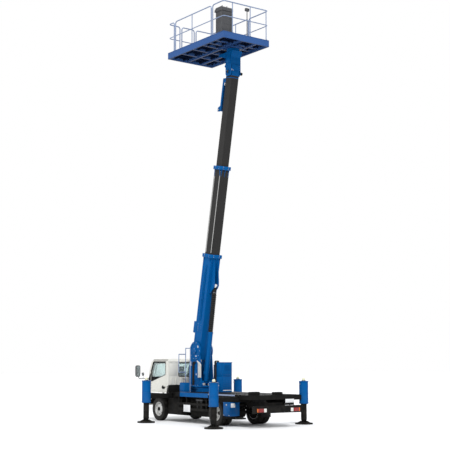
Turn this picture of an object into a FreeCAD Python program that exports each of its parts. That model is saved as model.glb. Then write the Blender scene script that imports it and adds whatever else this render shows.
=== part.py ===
"""Truck-mounted work platform: a cab-over truck with four jacks, a slewing turret, a long boom and a deck.

Millimetres. +X is forward, +Y is left and +Z is up. The driving sizes are measured from the rear axle, and
every
node is shifted back by centre_x, so that the origin is on the floor under the middle of the whole machine.
"""
import FreeCAD, Part
import math
import os
import types
import Sketcher

os.makedirs("parts", exist_ok=True)
doc = FreeCAD.newDocument("platform_truck")
Vector = FreeCAD.Vector
Rotation = FreeCAD.Rotation

# ---------------------------------------------------------------- driving dimensions

SIZES = {
    # whole machine
    "centre_x": 1115,
    # running gear
    "wheelbase": 3350,
    "front_track": 1410,
    "rear_track": 1435,
    "axle_height": 372,
    "tyre_radius": 372,
    "tyre_half": 95,
    "tyre_flank": 340,
    "rim_radius": 225,
    "rim_half": 75,
    "rim_gauge": 14,
    "twin_half": 115,
    "hub_bore": 60,
    "drum_radius": 185,
    "kingpin_y": 560,
    "kingpin_radius": 28,
    "steer_arm_half": 40,
    "spring_in": 296,
    "spring_out": 346,
    # chassis
    "rail_bottom": 550,
    "rail_top": 740,
    "rail_out": 350,
    "rail_flange": 60,
    "rail_gauge": 8,
    "rail_rear": -1750,
    "rail_front": 3900,
    # bed and subframe
    "beam_in": 340,
    "beam_out": 420,
    "beam_top": 865,
    "bed_bottom": 930,
    "bed_top": 945,
    "bed_half": 900,
    "bed_front": 2200,
    "bed_edge_bottom": 812,
    "bed_edge_gauge": 50,
    # jacks
    "jack_front_x": 2490,
    "jack_rear_x": -1013,
    "jack_y": 1765,
    "sleeve_step": 65,
    "sleeve_bottom": 740,
    "sleeve_top": 912,
    "sleeve_gauge": 7,
    "sleeve_end": 860,
    "arm_play": 6,
    "arm_inner_end": 510,
    "jack_radius": 140,
    "jack_bore": 96,
    "jack_bottom": 625,
    "jack_top": 1315,
    "jack_cap": 15,
    "leg_radius": 90,
    "leg_top": 870,
    "pad_radius": 275,
    "pad_rim": 30,
    "pad_top": 62,
    "pad_neck": 55,
    # cab
    "cab_back": 2680,
    "cab_nose": 4020,
    "cab_half": 850,
    "cab_floor": 910,
    "cab_tail_floor": 1130,
    "cab_roof": 1985,
    "cab_round": 250,
    "screen_foot_x": 3960,
    "screen_foot_z": 1330,
    "screen_head_x": 3690,
    "screen_head_z": 1900,
    "panel": 40,
    "glass": 6,
    "door_rear": 2790,
    "door_front": 3720,
    "door_low": 945,
    "door_high": 1925,
    "door_elbow": 1640,
    "door_head_front": 3590,
    "door_gap": 6,
    "hinge_x": 3717,
    "hinge_y": 868,
    "tilt_x": 3880,
    "tilt_z": 800,
    "tilt_pin": 25,
    # turret and boom
    "slew_x": 2050,
    "luff_z": 2250,
    "luff_lean": 11,
    "cheek_in": 215,
    "cheek_out": 245,
    "disc_bottom": 1105,
    "disc_top": 1150,
    "disc_radius": 420,
    "base_half_w": 185,
    "base_half_d": 210,
    "base_foot": 250,
    "base_end": 3150,
    "mid_half_w": 165,
    "mid_half_d": 176,
    "mid_start": 2750,
    "mid_end": 6000,
    "top_half_w": 140,
    "top_half_d": 145,
    "top_start": 5550,
    "top_end": 9030,
    "boom_gauge": 10,
    "collar_out": 30,
    "collar_deep": 110,
    # lift cylinder
    "lift_pin_x": 1800,
    "lift_pin_z": 1250,
    "lift_eye_back": 340,
    "lift_eye_along": 2190,
    "lift_barrel_radius": 80,
    "lift_bore": 56,
    "lift_barrel_length": 1620,
    "lift_rod_radius": 50,
    "lift_rod_start": 1370,
    "eye_radius": 60,
    "eye_half": 55,
    # levelling cylinder
    "level_pin_off": 420,
    "level_pin_along": 7820,
    "level_eye_x": 300,
    "level_eye_z": 260,
    "level_barrel_radius": 45,
    "level_bore": 30,
    "level_barrel_length": 800,
    "level_rod_radius": 25,
    # neck and deck
    "neck_half_w": 190,
    "neck_gauge": 25,
    "neck_half_d": 150,
    "neck_box_low": 213,
    "neck_head": 663,
    "ring_radius": 210,
    "deck_length": 3105,
    "deck_width": 1810,
    "deck_rear": -590,
    "deck_shift_y": 155,
    "deck_bottom": 11871,
    "deck_rim": 214,
    "deck_plate": 12,
    "rail_tube": 19,
    "rail_inset": 22,
    "rail_high": 975,
    "rail_middle": 495,
}

sheet = doc.addObject("Spreadsheet::Sheet", "Dims")
for line, (alias, amount) in enumerate(SIZES.items(), 1):
    sheet.set(f"A{line}", alias)
    sheet.set(f"B{line}", str(amount))
    sheet.setAlias(f"B{line}", alias)
doc.recompute()


class Size:
    """A length with its value in millimetres and the sheet expression that gives it."""

    def __init__(self, value, text):
        self.value = value
        self.text = text

    def __add__(self, other):
        other = sized(other)
        return Size(self.value + other.value, f"({self.text} + {other.text})")

    def __radd__(self, other):
        return sized(other) + self

    def __sub__(self, other):
        other = sized(other)
        return Size(self.value - other.value, f"({self.text} - {other.text})")

    def __rsub__(self, other):
        return sized(other) - self

    def __mul__(self, factor):
        return Size(self.value * factor, f"({self.text} * {factor})")

    __rmul__ = __mul__

    def __truediv__(self, factor):
        return Size(self.value / factor, f"({self.text} / {factor})")

    def __neg__(self):
        return Size(-self.value, f"(-{self.text})")


def sized(amount):
    """A plain number as a Size, and a Size as it is."""
    return amount if isinstance(amount, Size) else Size(float(amount), f"({amount})")


D = types.SimpleNamespace(**{alias: Size(float(sheet.get(alias)), f"Dims.{alias}") for alias in SIZES})
nodes = []


# ---------------------------------------------------------------- building helpers


def bind(item, **fields):
    """Binds an object's fields to sizes."""
    for field, amount in fields.items():
        item.setExpression(field, sized(amount).text)


def seat(item, x, y, z):
    """Puts an object's base at a point given by sizes."""
    for axis, amount in zip("xyz", (x, y, z)):
        item.setExpression(f"Placement.Base.{axis}", sized(amount).text)


def block(name, x, y, z):
    """A box between a low and a high size on each axis."""
    item = doc.addObject("Part::Box", name)
    bind(item, Length=x[1] - sized(x[0]), Width=y[1] - sized(y[0]), Height=z[1] - sized(z[0]))
    seat(item, x[0], y[0], z[0])
    return item


TURNS = {"x": Rotation(Vector(0, 1, 0), 90), "y": Rotation(Vector(1, 0, 0), -90), "z": Rotation()}


def rod(name, radius, length, start, axis="z"):
    """A cylinder from a start point towards the positive side of an axis."""
    item = doc.addObject("Part::Cylinder", name)
    bind(item, Radius=radius, Height=length)
    item.Placement.Rotation = TURNS[axis]
    seat(item, *start)
    return item


def cone(name, low_radius, high_radius, height, start):
    """An upright cone."""
    item = doc.addObject("Part::Cone", name)
    bind(item, Radius1=low_radius, Radius2=high_radius, Height=height)
    seat(item, *start)
    return item


def outline(name, points):
    """A closed sketch with every corner held by two bound dimensions."""
    sketch = doc.addObject("Sketcher::SketchObject", name)
    corners = [tuple(sized(amount) for amount in point) for point in points]
    flat = [Vector(across.value, up.value, 0) for across, up in corners]
    count = len(flat)
    for index in range(count):
        sketch.addGeometry(Part.LineSegment(flat[index], flat[(index + 1) % count]))
    for index in range(count):
        sketch.addConstraint(Sketcher.Constraint("Coincident", index, 2, (index + 1) % count, 1))
    for index, corner in enumerate(corners):
        for kind, amount in zip(("DistanceX", "DistanceY"), corner):
            held = sketch.addConstraint(Sketcher.Constraint(kind, -1, 1, index, 1, amount.value))
            sketch.setExpression(f"Constraints[{held}]", amount.text)
    return sketch


# plane: turn of the sketch, direction of the pull, and which axis the pull follows
PLANES = {
    "side": (Rotation(Vector(1, 0, 0), 90), Vector(0, 1, 0), "y"),
    "plan": (Rotation(), Vector(0, 0, 1), "z"),
    "front": (Rotation(Vector(1, 1, 1), 120), Vector(1, 0, 0), "x"),
}


def pull(name, plane, points, low, high):
    """A profile on the side (x, z), plan (x, y) or front (y, z) plane, pulled between two sizes."""
    turn, way, axis = PLANES[plane]
    sketch = outline(f"{name}_sketch", points)
    sketch.Placement.Rotation = turn
    sketch.setExpression(f"Placement.Base.{axis}", sized(low).text)
    item = doc.addObject("Part::Extrusion", name)
    item.Base = sketch
    item.DirMode = "Custom"
    item.Dir = way
    item.Solid = True
    bind(item, LengthFwd=high - sized(low))
    return item


def turned(name, points, centre_y, side):
    """A profile of (radius, distance outwards) corners turned about the line of an axle."""
    sketch = outline(f"{name}_sketch", [(radius, side * sized(out) + centre_y) for radius, out in points])
    item = doc.addObject("Part::Revolution", name)
    item.Source = sketch
    item.Axis = Vector(0, 1, 0)
    item.Base = Vector(0, 0, 0)
    item.Solid = True
    return item


def joined(name, pieces):
    """Several pieces as one shape."""
    if len(pieces) == 1:
        return pieces[0]
    item = doc.addObject("Part::MultiFuse", name)
    item.Shapes = pieces
    item.Refine = True
    return item


def less(name, pieces, holes):
    """Pieces with holes taken out."""
    item = doc.addObject("Part::Cut", name)
    item.Base = joined(f"{name}_solid", pieces)
    item.Tool = joined(f"{name}_holes", holes)
    return item


def node(name, pieces, holes=(), at=None, lean=None):
    """A named node: its pieces, less its holes, in the machine's frame, leaned back if it is a boom piece."""
    shape = less(f"{name}_cut", pieces, list(holes)) if holes else joined(f"{name}_all", pieces)
    item = doc.addObject("Part::Compound", name)
    item.Links = [shape]
    item.Label = name
    if lean is not None:
        item.Placement.Rotation = Rotation(Vector(0, 1, 0), -lean.value)
        item.setExpression("Placement.Rotation.Angle", f"-{lean.text}")
    x, y, z = at or (0, 0, 0)
    seat(item, sized(x) - D.centre_x, y, z)
    nodes.append(item)
    return item


def case(name, x, y, z, radius):
    """A box made as a padded sketch with every edge rounded."""
    body = doc.addObject("PartDesign::Body", name)
    plane = next(item for item in body.Origin.OriginFeatures if item.Role == "XY_Plane")
    sketch = body.newObject("Sketcher::SketchObject", f"{name}_sketch")
    sketch.AttachmentSupport = [(plane, "")]
    sketch.MapMode = "FlatFace"
    sketch.setExpression("AttachmentOffset.Base.z", sized(z[0]).text)
    corners = [(x[0], y[0]), (x[1], y[0]), (x[1], y[1]), (x[0], y[1])]
    corners = [tuple(sized(amount) for amount in point) for point in corners]
    flat = [Vector(across.value, up.value, 0) for across, up in corners]
    for index in range(4):
        sketch.addGeometry(Part.LineSegment(flat[index], flat[(index + 1) % 4]))
    for index in range(4):
        sketch.addConstraint(Sketcher.Constraint("Coincident", index, 2, (index + 1) % 4, 1))
    for index, corner in enumerate(corners):
        for kind, amount in zip(("DistanceX", "DistanceY"), corner):
            held = sketch.addConstraint(Sketcher.Constraint(kind, -1, 1, index, 1, amount.value))
            sketch.setExpression(f"Constraints[{held}]", amount.text)
    pad = body.newObject("PartDesign::Pad", f"{name}_pad")
    pad.Profile = sketch
    bind(pad, Length=z[1] - sized(z[0]))
    doc.recompute()
    fillet = body.newObject("PartDesign::Fillet", f"{name}_fillet")
    fillet.Base = (pad, [f"Edge{index + 1}" for index in range(len(pad.Shape.Edges))])
    bind(fillet, Radius=radius)
    body.Label = name
    seat(body, -D.centre_x, 0, 0)
    nodes.append(body)
    return body


def across(side, near, far):
    """The low and high y of something between near and far on the left (1) or the right (-1)."""
    near, far = sized(near), sized(far)
    return (near, far) if side > 0 else (-far, -near)


SIDES = (("left", 1), ("right", -1))

# ---------------------------------------------------------------- chassis


# what carries the tank, the boxes and the engine from the rails: name, x, y
BRACKETS = (
    ("tank_rear", (900, 960), (-380, -345)),
    ("tank_front", (1360, 1420), (-380, -345)),
    ("battery_rear", (930, 980), (345, 440)),
    ("battery_front", (1120, 1170), (345, 440)),
    ("tool_rear", (-740, -690), (345, 600)),
    ("tool_front", (-520, -470), (345, 600)),
    ("engine_rear_left", (2960, 3040), (250, 345)),
    ("engine_rear_right", (2960, 3040), (-345, -250)),
    ("engine_front_left", (3480, 3560), (250, 345)),
    ("engine_front_right", (3480, 3560), (-345, -250)),
)


def chassis_frame():
    """Two channel rails and five cross members."""
    pieces = []
    for hand, side in SIDES:
        web = across(side, D.rail_out - D.rail_gauge, D.rail_out)
        flange = across(side, D.rail_out - D.rail_flange, D.rail_out)
        length = (D.rail_rear, D.rail_front)
        pieces.append(block(f"rail_web_{hand}", length, web, (D.rail_bottom, D.rail_top)))
        pieces.append(block(f"rail_top_{hand}", length, flange, (D.rail_top - D.rail_gauge, D.rail_top)))
        low_flange = (D.rail_bottom, D.rail_bottom + D.rail_gauge)
        pieces.append(block(f"rail_low_{hand}", length, flange, low_flange))
    for number, place in enumerate((-1700, -560, 640, 1720, 2760, 3830), 1):
        inside = D.rail_out - D.rail_gauge
        pieces.append(block(f"cross_member_{number}", (place, place + 60), (-inside, inside), (600, 720)))
    for name, x, y in BRACKETS:
        pieces.append(block(f"{name}_bracket", x, y, (600, 650)))
    pieces.append(rod("tilt_pin", D.tilt_pin, 700, (D.tilt_x, -350, D.tilt_z), "y"))
    for hand, side in SIDES:
        foot = across(side, 290, D.rail_out)
        length = (D.tilt_x - 20, D.rail_front)
        pieces.append(block(f"tilt_bracket_{hand}", length, foot, (D.rail_top, D.tilt_z)))
    node("chassis_frame", pieces)


def front_axle():
    """The steering axle's beam, its kingpin eyes and its two leaf springs."""
    x = D.wheelbase
    pieces = [block("front_beam", (x - 38, x + 38), (-D.kingpin_y, D.kingpin_y), (306, 352))]
    holes = []
    for hand, side in SIDES:
        y = side * D.kingpin_y
        pieces.append(rod(f"kingpin_eye_{hand}", 45, 120, (x, y, D.axle_height - 60)))
        holes.append(rod(f"kingpin_bore_{hand}", D.kingpin_radius + 2, 200, (x, y, D.axle_height - 100)))
        width = across(side, D.spring_in, D.spring_out)
        pieces.append(block(f"front_seat_{hand}", (x - 60, x + 60), width, (340, 460)))
        pieces.append(leaf_spring(f"front_spring_{hand}", x, side))
    node("front_axle", pieces, holes)


def leaf_spring(name, x, side):
    """One arched leaf pack, hung from the rail above it."""
    arch = [(-560, 550), (-560, 510), (-200, 445), (200, 445), (560, 510)]
    arch += [(560, 550), (520, 550), (180, 485), (-180, 485), (-520, 550)]
    low, high = across(side, D.spring_in, D.spring_out)
    return pull(name, "side", [(x + along, up) for along, up in arch], low, high)


def rear_axle():
    """The driven axle: tube, differential, drums, hubs and leaf springs."""
    half = D.rear_track / 2
    pieces = [rod("axle_tube", 55, half * 2, (0, -half, D.axle_height), "y")]
    pieces.append(rod("differential", 150, 260, (0, -130, D.axle_height), "y"))
    for hand, side in SIDES:
        low, high = across(side, half - 215, half - 20)
        pieces.append(rod(f"rear_drum_{hand}", D.drum_radius, high - low, (0, low, D.axle_height), "y"))
        low, high = across(side, half - 40, half + 62)
        pieces.append(rod(f"rear_hub_{hand}", D.hub_bore - 6, high - low, (0, low, D.axle_height), "y"))
        width = across(side, D.spring_in, D.spring_out)
        pieces.append(block(f"rear_seat_{hand}", (-60, 60), width, (400, 460)))
        pieces.append(leaf_spring(f"rear_spring_{hand}", sized(0), side))
    node("rear_axle", pieces)


def drive_line():
    """The engine with its gearbox, as one plain block."""
    case("engine_block", (2860, 3660), (-250, 250), (470, 870), 30)


def side_boxes():
    """Fuel tank, battery box and tool box on the sides of the frame."""
    case("fuel_tank", (760, 1560), (-800, -380), (330, 700), 60)
    case("battery_box", (880, 1220), (440, 780), (380, 740), 12)
    case("tool_box", (-780, -432), (600, 950), (310, 710), 10)


def side_guards():
    """A pair of rails on posts along each side, with a closed panel on the left."""
    pieces = []
    for hand, side in SIDES:
        for number, height in enumerate((400, 560), 1):
            rail = across(side, 850, 875)
            pieces.append(block(f"guard_{hand}_{number}", (470, 2120), rail, (height, height + 70)))
        for number, place in enumerate((560, 1620, 2040), 1):
            post = across(side, 810, 850)
            pieces.append(block(f"guard_post_{hand}_{number}", (place, place + 50), post, (400, 860)))
    pieces.append(block("guard_panel", (1400, 1770), (850, 868), (400, 640)))
    node("side_guards", pieces)


def front_bumper():
    """A full-width bumper with turned-back ends."""
    depth = [(3990, -860), (4130, -800), (4130, 800), (3990, 860), (3930, 860), (3930, 830), (4080, 770)]
    depth += [(4080, -770), (3930, -830), (3930, -860)]
    bar = pull("bumper_bar", "plan", depth, 470, 740)
    stays = [
        block(f"bumper_stay_{hand}", (D.rail_front, 4085), across(side, 290, 350), (580, 720))
        for hand, side in SIDES
    ]
    node("front_bumper", [bar] + stays)


def rear_bar():
    """The under-run bar across the tail and its two stays."""
    pieces = [block("bar", (-1870, -1800), (-925, 925), (430, 640))]
    for hand, side in SIDES:
        pieces.append(
            block(f"bar_stay_{hand}", (-1800, -1740), across(side, 300, D.rail_out), (430, D.rail_bottom))
        )
    node("rear_bar", pieces)
    lamps = [
        block(f"lamp_{hand}", (-1900, -1870), across(side, 450, 810), (455, 575)) for hand, side in SIDES
    ]
    node("tail_lamps", lamps)


def mudguards():
    """Arched guards over all four wheel places."""
    # name, centre x, inner radius, thickness, near y, far y, lowest z
    table = (
        ("front", D.wheelbase, 450, 10, 560, 850, 526),
        ("rear", sized(0), 412, 10, 500, 930, 560),
    )
    pieces = []
    for name, x, radius, gauge, near, far, lowest in table:
        for hand, side in SIDES:
            low, high = across(side, near, far)
            ring = rod(f"{name}_ring_{hand}", radius + gauge, high - low, (x, low, D.axle_height), "y")
            bore = rod(f"{name}_void_{hand}", radius, high - low, (x, low, D.axle_height), "y")
            below = block(f"{name}_below_{hand}", (x - 600, x + 600), (low, high), (-200, lowest))
            pieces.append(less(f"{name}_guard_{hand}", [ring], [bore, below]))
    for hand, side in SIDES:
        crown = (784, 794)
        pieces.append(block(f"rear_stay_{hand}", (-20, 20), across(side, D.beam_out, 510), crown))
        bracket = (D.wheelbase - 20, D.wheelbase + 20)
        pieces.append(
            block(f"front_bracket_{hand}", bracket, across(side, D.rail_out, D.rail_out + 10), (700, 832))
        )
        pieces.append(block(f"front_stay_{hand}", bracket, across(side, D.rail_out, 570), (822, 832)))
    node("mudguards", pieces)


def subframe():
    """Blue beams over the rails, broken at the jack sleeves, with the turret's pedestal and slew ring."""
    sleeve = D.sleeve_step * 2
    spans = (
        (D.rail_rear + 30, D.jack_rear_x - sleeve),
        (D.jack_rear_x + sleeve, D.jack_front_x - sleeve),
    )
    pieces = []
    for number, span in enumerate(spans, 1):
        for hand, side in SIDES:
            beam = (D.rail_top, D.beam_top)
            pieces.append(block(f"beam_{number}_{hand}", span, across(side, D.beam_in, D.beam_out), beam))
    for number, place in enumerate((-1700, -500, 700, 1500, 1900), 1):
        pieces.append(
            block(f"bearer_{number}", (place, place + 80), (-D.bed_half + 50, D.bed_half - 50), (825, 930))
        )
    pieces.append(block("pedestal", (1580, 2560), (-300, 300), (D.bed_top, 1050)))
    pieces.append(rod("slew_ring", 380, 50, (D.slew_x, 0, 1050)))
    pieces.append(block("pedestal_stem", (1600, 2200), (-280, 280), (D.beam_top - 60, D.bed_top)))
    node("subframe", pieces)


def flat_bed():
    """The bed plate with its edge channels, broken where the rear jack sleeve passes."""
    ends = (D.rail_rear - 20, D.bed_front)
    pieces = [block("bed_plate", ends, (-D.bed_half, D.bed_half), (D.bed_bottom, D.bed_top))]
    hole = block("bed_stem_gap", (1600, 2200), (-280, 280), (D.bed_bottom - 10, D.bed_top + 10))
    sleeve = D.sleeve_step * 2 + 20
    spans = (
        (D.rail_rear - 20, D.jack_rear_x - sleeve),
        (D.jack_rear_x + sleeve, D.bed_front),
    )
    for number, span in enumerate(spans, 1):
        for hand, side in SIDES:
            edge = across(side, D.bed_half - D.bed_edge_gauge, D.bed_half)
            pieces.append(block(f"bed_edge_{number}_{hand}", span, edge, (D.bed_edge_bottom, D.bed_bottom)))
    tail = (D.rail_rear - 20, D.rail_rear + 30)
    pieces.append(block("bed_tail", tail, (-D.bed_half, D.bed_half), (D.bed_edge_bottom, D.bed_bottom)))
    pieces.append(block("bed_grip_plate", (100, 900), (-700, 700), (D.bed_top, D.bed_top + 6)))
    node("flat_bed", pieces, [hole])


def deck_rests():
    """Low rests on the bed's tail for the stowed boom and deck."""
    # near y, far y, top z
    table = ((560, 880, 1035), (-300, 0, 1015))
    pieces = []
    for number, (near, far, high) in enumerate(table, 1):
        pieces.append(block(f"rest_{number}", (-1700, -1560), (near, far), (D.bed_top, high)))
    node("deck_rests", pieces)


def power_cabinet():
    """The upright hydraulic cabinet behind the turret, on the right."""
    case("power_cabinet", (1070, 1470), (-505, -120), (D.bed_top, 1880), 12)


def jack_sleeves():
    """Two pairs of square sleeves across the frame, one for each jack arm."""
    pieces, holes = [], []
    for place, middle in (("front", D.jack_front_x), ("rear", D.jack_rear_x)):
        for number, step in enumerate((-D.sleeve_step, D.sleeve_step), 1):
            x = middle + step
            wide = D.sleeve_step - D.sleeve_gauge
            high = (D.sleeve_bottom + D.sleeve_gauge, D.sleeve_top - D.sleeve_gauge)
            far = D.sleeve_end + 10
            pieces.append(
                block(
                    f"sleeve_{place}_{number}",
                    (x - D.sleeve_step, x + D.sleeve_step),
                    (-D.sleeve_end, D.sleeve_end),
                    (D.sleeve_bottom, D.sleeve_top),
                )
            )
            holes.append(block(f"sleeve_{place}_bore_{number}", (x - wide, x + wide), (-far, far), high))
    node("jack_sleeves", pieces, holes)


def jack_places():
    """Each jack's name, side and x: the two of a pair sit in sleeves side by side."""
    for place, middle, swap in (("front", D.jack_front_x, 1), ("rear", D.jack_rear_x, -1)):
        for hand, side in SIDES:
            yield f"{place}_{hand}", side, middle + D.sleeve_step * (side * swap)


def jacks():
    """Four sliding arms, each with an upright jack tube, and the four legs with round pads."""
    wide = D.sleeve_step - D.sleeve_gauge - D.arm_play
    for name, side, x in jack_places():
        y = side * D.jack_y
        low, high = across(side, D.arm_inner_end, D.jack_y)
        tall = (D.sleeve_bottom + D.sleeve_gauge + D.arm_play, D.sleeve_top - D.sleeve_gauge - D.arm_play)
        arm = block(f"arm_{name}", (x - wide, x + wide), (low, high), tall)
        tube = rod(f"tube_{name}", D.jack_radius, D.jack_top - D.jack_bottom, (x, y, D.jack_bottom))
        bore = rod(
            f"tube_bore_{name}",
            D.jack_bore,
            D.jack_top - D.jack_cap - D.jack_bottom,
            (x, y, D.jack_bottom),
        )
        node(f"jack_arm_{name}", [arm, tube], [bore])
        taper = 80
        leg_foot = D.pad_top + taper
        leg = rod(f"leg_{name}", D.leg_radius, D.leg_top - leg_foot, (x, y, leg_foot))
        ankle = cone(f"ankle_{name}", D.pad_neck, D.leg_radius, taper, (x, y, D.pad_top))
        plate = rod(f"plate_{name}", D.pad_radius, D.pad_rim, (x, y, 0))
        crown = cone(
            f"crown_{name}",
            D.pad_radius - 15,
            D.pad_neck + 30,
            D.pad_top - D.pad_rim,
            (x, y, D.pad_rim),
        )
        node(f"jack_leg_{name}", [leg, ankle, plate, crown])


# ---------------------------------------------------------------- wheels


def wheels():
    """Single front wheels and twin rear wheels, each as a tyre node and a rim node."""
    lip = D.rim_radius - D.rim_gauge
    for hand, side in SIDES:
        rim = [
            (D.hub_bore, 18),
            (D.hub_bore, 62),
            (95, 62),
            (95, 34),
            (188, 34),
            (205, D.rim_half),
            (D.rim_radius, D.rim_half),
            (D.rim_radius, -D.rim_half),
            (lip, -D.rim_half),
            (lip, 18),
        ]
        y = side * D.front_track / 2
        at = (D.wheelbase, 0, D.axle_height)
        node(f"rim_front_{hand}", [turned(f"rim_front_{hand}_ring", rim, y, side)], at=at)
        node(f"tyre_front_{hand}", [tyre(f"tyre_front_{hand}_ring", y, side)], at=at)
        far = D.twin_half + D.rim_half
        near = D.twin_half - D.rim_half
        twin = [
            (D.hub_bore, -10),
            (D.hub_bore, 70),
            (100, 70),
            (100, 10),
            (196, 10),
            (lip, near),
            (lip, far),
            (D.rim_radius, far),
            (D.rim_radius, near),
            (D.rim_radius - 11, 0),
            (D.rim_radius, -near),
            (D.rim_radius, -far),
            (lip, -far),
            (lip, -near),
            (196, -10),
        ]
        y = side * D.rear_track / 2
        at = (0, 0, D.axle_height)
        node(f"rim_rear_{hand}", [turned(f"rim_rear_{hand}_ring", twin, y, side)], at=at)
        pair = [
            tyre(f"tyre_rear_{hand}_outer", y + side * D.twin_half, side),
            tyre(f"tyre_rear_{hand}_inner", y - side * D.twin_half, side),
        ]
        node(f"tyre_rear_{hand}", pair, at=at)


def tyre(name, y, side):
    """One tyre: bead, flank, shoulder and tread."""
    bead = D.tyre_half - 8
    half = [(D.rim_radius, D.rim_half), (D.rim_radius + 9, bead), (D.tyre_flank - 40, D.tyre_half)]
    half += [(D.tyre_flank + 14, D.tyre_half - 8), (D.tyre_radius, D.tyre_half - 24)]
    other = [(radius, -sized(out)) for radius, out in reversed(half)]
    return turned(name, half + other, y, side)


def knuckles():
    """The steered knuckles: kingpin, two yoke arms, drum and hub."""
    x = D.wheelbase
    for hand, side in SIDES:
        y = side * D.kingpin_y
        middle = D.front_track / 2
        pieces = [rod(f"kingpin_{hand}", D.kingpin_radius, 232, (x, y, D.axle_height - 116))]
        for level, (low, high) in (("low", (-116, -74)), ("high", (72, 116))):
            arm = across(side, D.kingpin_y - 34, middle - 80)
            half = D.steer_arm_half
            levels = (D.axle_height + low, D.axle_height + high)
            pieces.append(block(f"yoke_{level}_{hand}", (x - half, x + half), arm, levels))
        low, high = across(side, middle - 90, middle + 8)
        pieces.append(rod(f"front_drum_{hand}", D.drum_radius, high - low, (x, low, D.axle_height), "y"))
        low, high = across(side, middle, middle + 64)
        pieces.append(rod(f"front_hub_{hand}", D.hub_bore - 6, high - low, (x, low, D.axle_height), "y"))
        node(f"knuckle_{hand}", pieces)


# ---------------------------------------------------------------- cab

# corners of the cab's side: x, z, and which way is inwards on each
CAB_SIDE = (
    (D.cab_back, D.cab_tail_floor, 1, 1),
    (D.cab_back, D.cab_roof - 60, 1, -1),
    (D.cab_back + 60, D.cab_roof, 1, -1),
    (D.screen_head_x - 180, D.cab_roof, -1, -1),
    (D.screen_head_x, D.screen_head_z, -1, -1),
    (D.screen_foot_x, D.screen_foot_z, -1, -1),
    (D.cab_nose, D.screen_foot_z - 90, -1, -1),
    (D.cab_nose, D.cab_floor, -1, 1),
    (D.cab_back + 100, D.cab_floor, 1, 1),
)


def cab_hull(name, inset):
    """The cab's closed outer or inner shape: its side profile within a plan with rounded front corners."""
    side = [(x + inward * inset, z + up * inset) for x, z, inward, up in CAB_SIDE]
    half = D.cab_half - inset
    walls = pull(f"{name}_side", "side", side, -half, half)
    front = D.cab_nose - inset
    turn = D.cab_round - inset
    back = D.cab_back
    tall = (D.cab_floor - 10, D.cab_roof + 10)
    plan = [
        block(f"{name}_deep", (back, front - turn), (-half, half), tall),
        block(f"{name}_wide", (back, front), (turn - half, half - turn), tall),
    ]
    for hand, side_sign in SIDES:
        corner_at = (front - turn, side_sign * (half - turn), tall[0])
        plan.append(rod(f"{name}_corner_{hand}", turn, tall[1] - tall[0], corner_at))
    item = doc.addObject("Part::Common", name)
    item.Base = walls
    item.Tool = joined(f"{name}_plan", plan)
    return item


def door_outline(gap):
    """The door's side profile, smaller than its opening by a gap."""
    return [
        (D.door_rear + gap, D.door_low + gap),
        (D.door_rear + gap, D.door_high - gap),
        (D.door_head_front - gap, D.door_high - gap),
        (D.door_front - gap, D.door_elbow - gap),
        (D.door_front - gap, D.door_low + gap),
    ]


WINDOW = (
    (D.door_rear + 75, 1490),
    (D.door_rear + 75, D.door_high - 48),
    (D.door_head_front - 38, D.door_high - 48),
    (D.door_front - 56, D.door_elbow - 20),
    (D.door_front - 56, 1270),
)


def screen_strip(name, start, end, inner, outer, half):
    """A slab along the windscreen's slope between two shares of it, with its depths below the face."""
    foot = Vector(D.screen_foot_x.value, D.screen_foot_z.value, 0)
    head = Vector(D.screen_head_x.value, D.screen_head_z.value, 0)
    along = head - foot
    inward = Vector(-along.y, along.x, 0)
    inward.normalize()
    low, high = foot + along * start, foot + along * end
    corners = [low + inward * outer, low + inward * inner, high + inward * inner, high + inward * outer]
    return pull(name, "side", [(corner.x, corner.y) for corner in corners], -half, half)


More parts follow.
